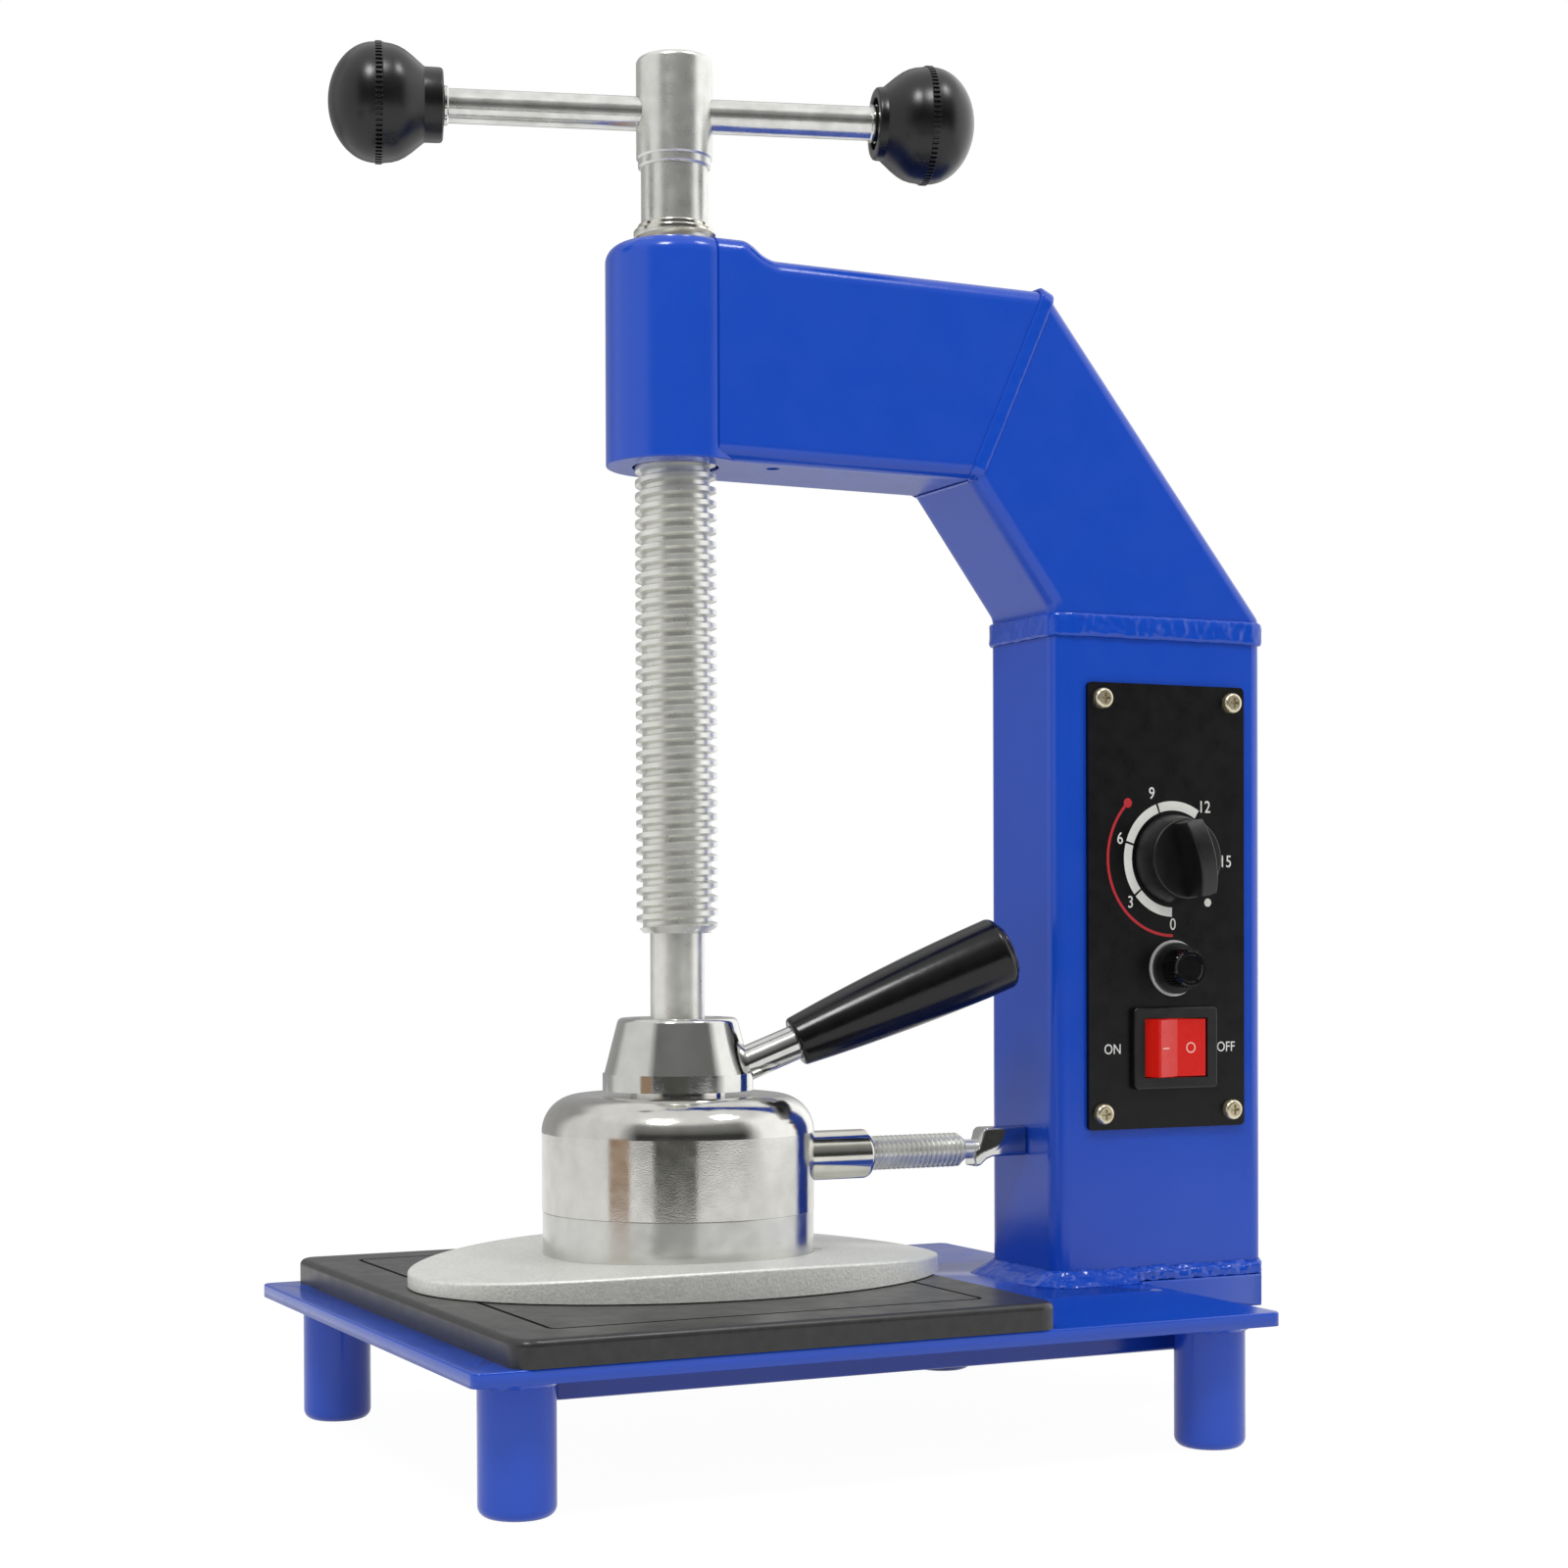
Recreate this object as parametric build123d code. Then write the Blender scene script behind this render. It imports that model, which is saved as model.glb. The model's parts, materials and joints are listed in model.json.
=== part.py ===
from build123d import *
import math
import os

# A bench-top tire vulcanizer: a screw press that holds a patch against a heated platen.
# Millimetres, +Z up. The origin is on the bench, under the middle of the base plate.
# +X runs from the press towards the column, and the operator stands on the -Y side.

# Allowances that all pieces share
overrun = 1.0
running_gap = 0.3
shaft_gap = 0.1
edge_break = 0.6

# Base plate, with a narrow tongue behind that carries the column's rear half
base_width = 196.0
base_thickness = 4.0
base_corner_radius = 3.0
tongue_length = 52.5
tongue_side_reach = 3.5
tongue_lip_depth = 6.0
tongue_lip_thickness = 3.0
wire_hole_diameter = 14.0
wire_hole_inset = 11.0

# Four round feet, welded under the base plate
foot_diameter = 20.5
foot_height = 36.5
foot_edge_radius = 3.0
foot_front_inset = 18.5
foot_rear_inset = 12.0
foot_side_inset = 19.0
foot_weld_leg = 3.0
foot_weld_gap = 1.2

# Heated platen, with a shallow groove on top and a pocket below for the heater
platen_length = 159.0
platen_overhang = 0.5
platen_thickness = 7.5
platen_front_inset = 11.0
platen_corner_radius = 6.0
platen_edge_radius = 2.0
groove_inset = 15.0
groove_width = 1.3
groove_depth = 0.9
groove_corner_radius = 3.0
heater_pocket_inset = 37.0
heater_pocket_depth = 4.2
heater_thickness = 1.4
heater_lead_diameter = 10.0

# Screws that hold the platen from below
platen_screw_diameter = 5.0
platen_screw_head_diameter = 9.0
platen_screw_head_height = 3.2
platen_screw_hole_gap = 0.3
platen_screw_end_inset = 29.0
platen_screw_side_inset = 52.0
platen_screw_depth = 4.5

# Wiring tray under the base plate, and what it covers
tray_depth = 10.5
tray_wall = 1.2
tray_corner_radius = 4.0
tray_flange = 9.0
tray_rear_inset = 1.0
tray_screw_diameter = 3.5
tray_screw_head_diameter = 6.5
tray_screw_head_height = 2.0
tray_screw_side_inset = 22.5
thermostat_diameter = 16.0
thermostat_height = 6.0
thermostat_ear_length = 24.0
thermostat_ear_width = 6.0
thermostat_ear_thickness = 0.8
thermostat_offset = 32.0
terminal_length = 34.0
terminal_width = 16.0
terminal_height = 7.0
terminal_hole_diameter = 3.0
terminal_pole_pitch = 10.0
terminal_offset = 55.0

# Column: a welded box section
column_depth = 78.0
column_width = 41.0
column_wall = 3.0
column_corner_radius = 5.0
column_height = 203.5
column_rear_inset = 2.0
platen_column_gap = 47.0
press_offset = 8.5

# Sloping section from the column's top to the arm, and the arm itself
slope_foot = 5.0
slope_bend_radius = 4.0
slope_inner_rise = 42.5
mitre_inner_reach = 28.0
mitre_outer_reach = 1.0
arm_depth = 59.5
arm_drain_diameter = 4.0
arm_drain_reach = 27.0
arm_drain_offset = 10.0
arm_front_reach = 5.0

# Nut housing at the arm's end, and the nut inside it
housing_rise = 5.0
housing_wall = 4.5
housing_lip_height = 3.0
housing_lip_gap = 0.8
ramp_width = 9.5
nut_recess = 1.0
nut_chamfer = 1.0

# Weld beads
mitre_weld_width = 5.0
mitre_weld_rise = 0.5
mitre_weld_edge = 0.4
mitre_root_width = 0.8
mitre_root_gap = 0.1
mitre_root_radius = 4.0
column_weld_width = 8.0
column_weld_rise = 1.3
column_weld_edge = 1.2
base_weld_reach = 8.0
base_weld_height = 4.5
base_weld_lip = 0.3

# Control panel on the column's near face
panel_width = 58.0
panel_foot_margin = 12.25
panel_thickness = 1.5
panel_corner_radius = 1.5
panel_drop = 17.5
panel_offset = 1.0
controls_offset = 2.0
panel_window_margin = 9.0
panel_window_radius = 4.0
panel_screw_diameter = 3.5
panel_screw_head_diameter = 6.4
panel_screw_head_height = 2.2
panel_screw_inset = 5.0
panel_screw_length = 9.0

# Timer behind the panel, and its knob
timer_drop = 54.4
timer_body_width = 42.0
timer_body_depth = 28.0
timer_bush_diameter = 11.0
timer_shaft_diameter = 6.0
timer_shaft_depth = 16.0
knob_diameter = 28.0
knob_face_diameter = 25.0
knob_skirt_height = 8.0
knob_height = 19.0
knob_wing_width = 6.0
knob_wing_end_drop = 4.0
knob_rest_angle = -77.0

# Fuse holder, its washer, cap and fuse
timer_to_fuse = 34.2
fuse_flange_diameter = 16.0
fuse_flange_height = 2.2
fuse_body_diameter = 12.5
fuse_body_depth = 30.0
fuse_washer_diameter = 17.6
fuse_washer_thickness = 0.6
fuse_cap_diameter = 12.0
fuse_cap_height = 7.0
fuse_cap_stem_diameter = 7.0
fuse_cap_stem_depth = 6.0
fuse_cap_slot_width = 1.4
fuse_cap_slot_depth = 1.2
fuse_diameter = 5.2
fuse_length = 20.0

# Rocker switch
fuse_to_switch = 24.9
switch_bezel_width = 31.0
switch_bezel_height = 25.5
switch_bezel_rise = 2.0
switch_body_width = 27.0
switch_body_height = 22.0
switch_body_depth = 18.0
switch_opening_width = 23.4
switch_opening_height = 18.6
switch_opening_depth = 9.0
rocker_width = 21.0
rocker_height = 17.8
rocker_back = 5.0
rocker_crown = 1.6
rocker_throw = 12.0
rocker_pivot_depth = 1.5
rocker_pin_diameter = 2.2
rocker_pin_length = 1.6

# Cable gland on the column's far face, left empty
gland_flange_diameter = 18.0
gland_flange_height = 3.0
gland_nut_diameter = 14.0
gland_nut_height = 7.0
gland_bore_diameter = 7.5
gland_rise = 32.0

# Pressing plate that lies on the platen
plate_length = 163.0
plate_width = 116.0
plate_thickness = 8.2
plate_end_thickness = 4.0
plate_seat_depth = 1.0
plate_edge_radius = 0.8
plate_dimple_diameter = 3.0
plate_dimple_depth = 2.4
plate_dimple_reach = 39.0
plate_dimple_offset = 14.0
plate_screw_diameter = 4.0
plate_screw_head_diameter = 7.5
plate_screw_head_height = 2.5
plate_screw_length = 14.0
plate_screw_circle_radius = 25.0
plate_screw_count = 3

# Pressing head: a turned disc below and a chromed cap above
head_diameter = 80.0
disc_height = 12.6
disc_boss_diameter = 30.0
cap_height = 33.9
cap_overlap = 0.2
cap_shoulder_radius = 11.0
cap_wall = 6.0
cap_roof = 7.0
cap_neck_diameter = 28.0
cap_neck_height = 9.0

# Screw spindle, with the thrust collar that the head hangs on
thread_diameter = 24.0
thread_pitch = 4.0
thread_chamfer = 1.5
thread_end_rise = 3.5
shank_diameter = 16.0
shank_exposed = 24.9
shank_end_diameter = 12.0
collar_diameter = 26.0
collar_height = 6.0
collar_pin_diameter = 3.0
thrust_washer_height = 2.0
spindle_tip_diameter = 14.0
spindle_tip_depth = 5.5
lower_washer_diameter = 24.2
lower_washer_height = 1.4
upper_washer_diameter = 21.8
upper_washer_height = 1.6
sleeve_diameter = 19.7
sleeve_height = 16.5
sleeve_lip_diameter = 21.4
sleeve_lip_height = 2.5
t_cap_diameter = 22.4
t_cap_height = 29.7
t_cap_edge_radius = 1.6
bar_drop = 16.2

# Cross bar with two ball knobs, free to slide through the T cap
bar_diameter = 9.8
ball_diameter = 34.5
ball_spacing = 164.8
bar_slide = -3.9
bar_azimuth = -16.7
ball_seam_width = 1.8
ball_seam_rise = 0.4
ball_collar_diameter = 21.0
ball_collar_reach = 19.5
ball_collar_lip = 1.0
bar_insertion = 5.0

# Chromed cone under the screw, with the locking lever
hub_gap = 1.2
hub_diameter = 44.4
hub_band_height = 5.0
hub_step = 0.5
hub_top_diameter = 35.0
hub_height = 21.3
hub_edge_radius = 1.8
hub_pin_hole_diameter = 3.0
hub_pin_hole_depth = 3.0
hub_pin_circle_radius = 13.0
lever_azimuth = -15.0
lever_slope = 22.6
lever_stem_diameter = 10.4
lever_stem_reach = 22.0
lever_stem_rise = 8.0
lever_stem_root = 5.0
grip_reach = 14.5
grip_length = 70.0
grip_root_diameter = 14.8
grip_middle_diameter = 20.4
grip_end_diameter = 22.4
grip_root_radius = 1.2
grip_end_radius = 2.6
grip_insertion = 44.0
grip_cap_diameter = 17.0
grip_cap_rise = 1.0
grip_cap_depth = 3.0

# Guide stud from the head to the column
guide_drop = 20.0
ferrule_diameter = 15.0
ferrule_reach = 63.0
ferrule_edge_radius = 2.0
stud_diameter = 10.5
stud_chamfer = 1.6
stud_neck_diameter = 6.0
stud_neck_length = 3.4
shoe_length = 18.3
shoe_height = 8.0
shoe_width = 8.0
shoe_rise = 2.0
shoe_edge_radius = 1.0
shoe_insertion = 4.0

# Places along X, and sizes that follow from what stands on the base
base_length = platen_front_inset + platen_length + platen_column_gap + column_depth + column_rear_inset
base_front = -base_length / 2
base_rear = base_length / 2
base_side = base_width / 2
column_rear = base_rear - column_rear_inset
column_front = column_rear - column_depth
column_middle = (column_front + column_rear) / 2
column_side = column_width / 2
tongue_front = base_rear - tongue_length
tongue_width = column_width + 2 * tongue_side_reach
platen_width = base_width + 2 * platen_overhang
platen_middle = base_front + platen_front_inset + platen_length / 2
press_x = platen_middle + press_offset
press_reach = column_front - press_x
foot_front_x = base_front + foot_front_inset
foot_rear_x = tongue_front - foot_rear_inset
foot_side = base_side - foot_side_inset
foot_reach = foot_diameter / 2 + foot_weld_leg + foot_weld_gap
tray_front = foot_front_x + foot_reach
tray_rear = tongue_front - tray_rear_inset - tray_flange
tray_length = tray_rear - tray_front
tray_middle = (tray_front + tray_rear) / 2
tray_width = 2 * (foot_side - foot_reach)
mitre_inner_x = column_front - mitre_inner_reach
mitre_outer_x = column_front - mitre_outer_reach
panel_middle = column_middle + panel_offset
controls_x = panel_middle + controls_offset

# Places along Z
base_underside = foot_height
base_top = foot_height + base_thickness
platen_top = base_top + platen_thickness
column_top = base_top + column_height
arm_underside = column_top + slope_inner_rise
arm_top = arm_underside + arm_depth
housing_top = arm_top + housing_rise
housing_radius = column_side
nut_radius = housing_radius - housing_wall
nut_bottom = arm_underside + housing_lip_height
nut_top = housing_top - nut_recess
plate_underside = platen_top + running_gap
plate_top = plate_underside + plate_thickness
plate_seat = plate_top - plate_seat_depth
plate_crown_rise = plate_thickness - plate_end_thickness
plate_crown_radius = ((plate_length / 2) ** 2 + plate_crown_rise**2) / (2 * plate_crown_rise)
disc_top = plate_seat + disc_height
cap_top = disc_top + cap_height
hub_bottom = cap_top + hub_gap
hub_top = hub_bottom + hub_height
thread_bottom = hub_top + shank_exposed
thread_top = housing_top + thread_end_rise
collar_top = cap_top - cap_roof - running_gap
collar_bottom = collar_top - collar_height
thrust_top = collar_bottom - running_gap
thrust_bottom = thrust_top - thrust_washer_height
washers_top = thread_top + lower_washer_height + upper_washer_height
sleeve_top = washers_top + sleeve_height
t_cap_bottom = sleeve_top + sleeve_lip_height
t_cap_top = t_cap_bottom + t_cap_height
bar_z = t_cap_top - bar_drop
guide_z = cap_top - guide_drop
panel_top = column_top - panel_drop
timer_z = panel_top - timer_drop
fuse_z = timer_z - timer_to_fuse
switch_z = fuse_z - fuse_to_switch
panel_bottom = switch_z - switch_bezel_height / 2 - panel_foot_margin
panel_height = panel_top - panel_bottom

# Places along Y, on the near side
panel_back = -column_side
panel_face = panel_back - panel_thickness

standing = (Align.CENTER, Align.CENTER, Align.MIN)


def upright(diameter, bottom, top, x=press_x, y=0):
    """A vertical cylinder from one height to another."""
    return Pos(x, y, bottom) * Cylinder(diameter / 2, top - bottom, align=standing)


def along_y(diameter, near, far, x, z):
    """A cylinder along Y from the near end to the far end."""
    return Pos(x, near, z) * Rot(-90, 0, 0) * Cylinder(diameter / 2, far - near, align=standing)


def along_x(diameter, start, end, z, y=0):
    """A cylinder along X from one end to the other."""
    return Pos(start, y, z) * Rot(0, 90, 0) * Cylinder(diameter / 2, end - start, align=standing)


def rounded_block(length, width, radius, bottom, top, x=0, y=0):
    """An upright block with four rounded vertical edges."""
    outline = Pos(x, y, bottom) * RectangleRounded(length, width, radius)
    return extrude(outline, top - bottom)


def top_edges(solid):
    """The edges of a solid's highest face."""
    return solid.faces().sort_by(Axis.Z)[-1].outer_wire().edges()


def bottom_edges(solid):
    """The edges of a solid's lowest face."""
    return solid.faces().sort_by(Axis.Z)[0].outer_wire().edges()


def four_corners(half_length, half_width):
    """The four corner places of a rectangle about the origin."""
    return [(sx * half_length, sy * half_width) for sx in (-1, 1) for sy in (-1, 1)]


def foot_places():
    """Names and places of the four feet."""
    return {
        "foot_front_near": (foot_front_x, -foot_side),
        "foot_front_far": (foot_front_x, foot_side),
        "foot_rear_near": (foot_rear_x, -foot_side),
        "foot_rear_far": (foot_rear_x, foot_side),
    }


def platen_screw_places():
    """Places of the screws that hold the platen."""
    corners = four_corners(
        platen_length / 2 - platen_screw_end_inset,
        platen_width / 2 - platen_screw_side_inset,
    )
    return [(platen_middle + x, y) for x, y in corners]


def tray_screw_places():
    """Places of the screws through the tray's two end flanges."""
    reach = tray_length / 2 + tray_flange / 2
    corners = four_corners(reach, tray_width / 2 - tray_screw_side_inset)
    return [(tray_middle + x, y) for x, y in corners]


def base_outline():
    """The base plate's outline, with its tongue behind."""
    half = tongue_width / 2
    outline = make_face(
        Polyline(
            (base_front, -base_side),
            (tongue_front, -base_side),
            (tongue_front, -half),
            (base_rear, -half),
            (base_rear, half),
            (tongue_front, half),
            (tongue_front, base_side),
            (base_front, base_side),
            close=True,
        )
    )
    return fillet(outline.vertices(), base_corner_radius)


def tongue_lip():
    """The lip that is turned down round the tongue to stiffen it."""
    corner = (Align.MAX, Align.CENTER, Align.MAX)
    depth = tongue_lip_depth + base_thickness / 2
    length = tongue_length - base_corner_radius
    lip = Box(length, tongue_width, depth, align=corner)
    lip = fillet(lip.edges().filter_by(Axis.Z).sort_by(Axis.X)[-2:], base_corner_radius)
    inner = Box(
        length,
        tongue_width - 2 * tongue_lip_thickness,
        depth + overrun,
        align=corner,
    )
    lip -= Pos(-tongue_lip_thickness, 0, 0) * inner
    return Pos(base_rear, 0, base_top - base_thickness / 2) * lip


def base_plate():
    """Flat plate with its lipped tongue, screw holes and two wire holes."""
    plate = extrude(Pos(0, 0, base_underside) * base_outline(), base_thickness)
    plate = fillet(top_edges(plate), edge_break)
    plate += tongue_lip()
    low = base_underside - overrun
    high = base_top + overrun
    for x, y in platen_screw_places():
        plate -= upright(platen_screw_diameter + 2 * platen_screw_hole_gap, low, high, x, y)
    for x, y in tray_screw_places():
        plate -= upright(tray_screw_diameter, low, high, x, y)
    plate -= upright(heater_lead_diameter, low, high, platen_middle)
    plate -= upright(wire_hole_diameter, low, high, column_front + wire_hole_inset)
    return plate


def foot(place):
    """Solid round foot with a rounded lower edge."""
    post = upright(foot_diameter, 0, base_underside, *place)
    return fillet(bottom_edges(post), foot_edge_radius)


def foot_welds():
    """A fillet of weld round the top of each foot."""
    radius = foot_diameter / 2
    rings = []
    for place in foot_places().values():
        ring = Cone(radius, radius + foot_weld_leg, foot_weld_leg, align=standing)
        ring = Pos(*place, base_underside - foot_weld_leg) * ring
        rings.append(ring - upright(foot_diameter, 0, base_underside + overrun, *place))
    return rings


def platen():
    """Aluminium hot plate with its groove, heater pocket and threaded holes."""
    body = rounded_block(
        platen_length, platen_width, platen_corner_radius, base_top, platen_top, platen_middle
    )
    body = fillet(top_edges(body), platen_edge_radius)
    groove_length = platen_length - 2 * groove_inset
    groove_breadth = platen_width - 2 * groove_inset
    groove_bottom = platen_top - groove_depth
    outer = rounded_block(
        groove_length,
        groove_breadth,
        groove_corner_radius,
        groove_bottom,
        platen_top + overrun,
        platen_middle,
    )
    inner = rounded_block(
        groove_length - 2 * groove_width,
        groove_breadth - 2 * groove_width,
        groove_corner_radius - groove_width,
        groove_bottom - overrun,
        platen_top + 2 * overrun,
        platen_middle,
    )
    body -= outer - inner
    body -= rounded_block(
        platen_length - 2 * heater_pocket_inset,
        platen_width - 2 * heater_pocket_inset,
        groove_corner_radius,
        base_top - overrun,
        base_top + heater_pocket_depth,
        platen_middle,
    )
    for x, y in platen_screw_places():
        body -= upright(platen_screw_diameter, base_top - overrun, base_top + platen_screw_depth, x, y)
    return body


def pocket_sheet(bottom, top):
    """A flat sheet that fills the platen's pocket between two heights."""
    return rounded_block(
        platen_length - 2 * heater_pocket_inset - running_gap,
        platen_width - 2 * heater_pocket_inset - running_gap,
        groove_corner_radius,
        bottom,
        top,
        platen_middle,
    )


def lower_heater():
    """Flat heating element against the roof of the platen's pocket."""
    pocket_roof = base_top + heater_pocket_depth
    return pocket_sheet(pocket_roof - heater_thickness, pocket_roof)


def heater_insulation():
    """Insulating board between the heating element and the base plate."""
    board = pocket_sheet(base_top, base_top + heater_pocket_depth - heater_thickness)
    return board - upright(heater_lead_diameter, base_underside, platen_top, platen_middle)


def pan_head_screw(diameter, head_diameter, head_height, length):
    """A screw along Z with its shank upwards from zero and its head below zero."""
    shank = Cylinder(diameter / 2, length, align=standing)
    head = Pos(0, 0, -head_height) * Cylinder(head_diameter / 2, head_height, align=standing)
    head = fillet(bottom_edges(head), head_height / 2)
    return head + shank


def platen_screws():
    """Four screws up through the base plate into the platen."""
    screw = pan_head_screw(
        platen_screw_diameter,
        platen_screw_head_diameter,
        platen_screw_head_height,
        base_thickness + platen_screw_depth,
    )
    return [Pos(x, y, base_underside) * screw for x, y in platen_screw_places()]


def bottom_tray():
    """Folded sheet tray with a flange at each end."""
    floor = base_underside - tray_depth
    shell = rounded_block(tray_length, tray_width, tray_corner_radius, floor, base_underside, tray_middle)
    shell = fillet(bottom_edges(shell), tray_wall)
    flange = rounded_block(
        tray_length + 2 * tray_flange,
        tray_width - 2 * tray_flange,
        tray_corner_radius,
        base_underside - tray_wall,
        base_underside,
        tray_middle,
    )
    hollow = rounded_block(
        tray_length - 2 * tray_wall,
        tray_width - 2 * tray_wall,
        tray_corner_radius - tray_wall,
        floor + tray_wall,
        base_underside + overrun,
        tray_middle,
    )
    tray = shell + flange - hollow
    for x, y in tray_screw_places():
        tray -= upright(tray_screw_diameter, floor, base_underside + overrun, x, y)
    return tray


def tray_screws():
    """Four screws that hold the tray."""
    screw = pan_head_screw(
        tray_screw_diameter,
        tray_screw_head_diameter,
        tray_screw_head_height,
        tray_wall + base_thickness,
    )
    bottom = base_underside - tray_wall
    return [Pos(x, y, bottom) * screw for x, y in tray_screw_places()]


def thermostat():
    """Disc thermostat with a mounting ear, under the base plate."""
    x = platen_middle + thermostat_offset
    bottom = base_underside - thermostat_height
    can = fillet(bottom_edges(upright(thermostat_diameter, bottom, base_underside, x)), edge_break)
    ear_bottom = base_underside - thermostat_ear_thickness
    ear = rounded_block(
        thermostat_ear_length,
        thermostat_ear_width,
        thermostat_ear_width / 3,
        ear_bottom,
        base_underside,
        x,
    )
    return can + ear


def terminal_block():
    """Three-pole terminal block under the base plate."""
    x = platen_middle + terminal_offset
    bottom = base_underside - terminal_height
    block = rounded_block(terminal_width, terminal_length, edge_break, bottom, base_underside, x)
    for step in (-1, 0, 1):
        block -= upright(
            terminal_hole_diameter,
            bottom - overrun,
            base_underside - terminal_height / 2,
            x,
            step * terminal_pole_pitch,
        )
    return block


def column_outer():
    """The column's outside, filled."""
    return rounded_block(
        column_depth, column_width, column_corner_radius, base_top, column_top, column_middle
    )


def column():
    """Box-section column with a window behind the control panel."""
    hollow = rounded_block(
        column_depth - 2 * column_wall,
        column_width - 2 * column_wall,
        column_corner_radius - column_wall,
        base_top - overrun,
        column_top + overrun,
        column_middle,
    )
    window = RectangleRounded(
        panel_width - 2 * panel_window_margin,
        panel_height - 2 * panel_window_margin,
        panel_window_radius,
    )
    window = Pos(panel_middle, panel_back - overrun, panel_bottom + panel_height / 2) * Rot(90, 0, 0) * window
    tube = column_outer() - hollow
    tube -= extrude(window, -(column_wall + 2 * overrun))
    for x, z in panel_screw_places():
        tube -= along_y(panel_screw_diameter, panel_back - overrun, panel_back + column_wall + overrun, x, z)
    gland_hole_start = column_side - column_wall - overrun
    tube -= along_y(gland_nut_diameter, gland_hole_start, column_side + overrun, column_middle, gland_z())
    return tube


def shifted(point, towards, distance):
    """A point moved by a distance along the line that leads away from another point."""
    dx = point[0] - towards[0]
    dz = point[1] - towards[1]
    length = math.hypot(dx, dz)
    return (point[0] + dx * distance / length, point[1] + dz * distance / length)


def slope_profile(extension):
    """The sloping section's side view, run on past both of its ends."""
    inner_bend = (column_front, column_top + slope_foot)
    outer_bend = (column_rear, column_top + slope_foot)
    inner_end = shifted((mitre_inner_x, arm_underside), inner_bend, extension)
    outer_end = shifted((mitre_outer_x, arm_top), outer_bend, extension)
    outline = Polyline(
        (column_front, column_top - extension),
        inner_bend,
        inner_end,
        outer_end,
        outer_bend,
        (column_rear, column_top - extension),
        close=True,
    )
    face = make_face(outline)
    bends = [
        corner
        for corner in face.vertices()
        if abs(corner.Y - inner_bend[1]) < extension / 2
        and (abs(corner.X - column_front) < extension / 2 or abs(corner.X - column_rear) < extension / 2)
    ]
    return fillet(bends, slope_bend_radius)


def mitre_cutter(beyond):
    """Everything on the arm's side of the mitre, or beyond it on the column's side."""
    span = press_reach + column_depth
    low = shifted((mitre_inner_x, arm_underside), (mitre_outer_x, arm_top), span)
    high = shifted((mitre_outer_x, arm_top), (mitre_inner_x, arm_underside), span)
    side = span if beyond else -span
    outline = Polyline(low, high, (high[0] + side, high[1]), (low[0] + side, low[1]), close=True)
    return extrude(Plane.XZ * make_face(outline), column_width, both=True)


def slope_outer():
    """The sloping section's outside, filled and cut to its mitre."""
    blank = extrude(Plane.XZ * slope_profile(column_width), column_side, both=True)
    long_edges = [edge for edge in blank.edges() if abs(abs(edge.center().Y) - column_side) < edge_break]
    blank = fillet(long_edges, column_corner_radius)
    blank -= Pos(0, 0, column_top) * Box(
        2 * base_length, base_width, base_length, align=(Align.CENTER, Align.CENTER, Align.MAX)
    )
    return blank - mitre_cutter(False)


def slope_section():
    """Hollow sloping section between the column and the arm."""
    inside = offset(slope_profile(column_width), -column_wall, kind=Kind.INTERSECTION)
    hollow = extrude(Plane.XZ * inside, column_side - column_wall, both=True)
    return slope_outer() - hollow


def arm_bar(width, depth, radius, front):
    """A bar along X with rounded long edges, centred on the arm."""
    outline = RectangleRounded(depth, width, radius)
    bar = extrude(Plane.YZ * Rot(0, 0, 90) * outline, mitre_outer_x - front)
    return Pos(front, 0, arm_underside + arm_depth / 2) * bar


def above_arm():
    """All that lies over the arm's top, with a smooth ramp down from the housing."""
    ramp_end = housing_radius + ramp_width
    far = press_reach + column_depth
    over = housing_top + overrun
    ramp = Spline((housing_radius, housing_top), (ramp_end, arm_top), tangents=((1, 0), (1, 0)))
    rest = Polyline(
        (ramp_end, arm_top), (far, arm_top), (far, over), (housing_radius, over), (housing_radius, housing_top)
    )
    region = Plane.XZ * make_face(ramp + rest)
    return Pos(press_x, 0, 0) * revolve(region, Axis.Z)


def arm_outer():
    """The arm's outside, filled and cut to its mitre, with its ramp up to the housing."""
    front = press_x + arm_front_reach
    corner = (Align.MIN, Align.CENTER, Align.MIN)
    length = mitre_outer_x + overrun - front
    blank = Box(length, column_width, housing_top - arm_underside, align=corner)
    blank = Pos(front, 0, arm_underside) * blank - above_arm()
    long_edges = [edge for edge in blank.edges() if abs(abs(edge.center().Y) - column_side) < edge_break]
    long_edges = [edge for edge in long_edges if edge.length > arm_front_reach and edge.center().X > front]
    blank = fillet(long_edges, column_corner_radius)
    return blank - mitre_cutter(True)


def arm():
    """Hollow arm that is coped round the nut housing, with a drain hole below."""
    hollow = arm_bar(
        column_width - 2 * column_wall,
        arm_depth - 2 * column_wall,
        column_corner_radius - column_wall,
        press_x,
    )
    tube = arm_outer() - hollow - housing_blank()
    drain_bottom = arm_underside - overrun
    drain_top = arm_underside + column_wall + overrun
    drain_x = press_x + arm_drain_reach
    return tube - upright(arm_drain_diameter, drain_bottom, drain_top, drain_x, -arm_drain_offset)


def housing_blank():
    """The nut housing's outside, filled, with a round top edge."""
    blank = upright(2 * housing_radius, arm_underside, housing_top)
    blank = fillet(top_edges(blank), column_corner_radius)
    return fillet(bottom_edges(blank), edge_break)


def nut_housing():
    """Round housing at the arm's end, bored from above for the spindle's nut."""
    lip_bore = thread_diameter + 2 * housing_lip_gap
    housing = housing_blank() - upright(2 * nut_radius, nut_bottom, housing_top + overrun)
    return housing - upright(lip_bore, arm_underside - overrun, nut_bottom + overrun)


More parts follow.
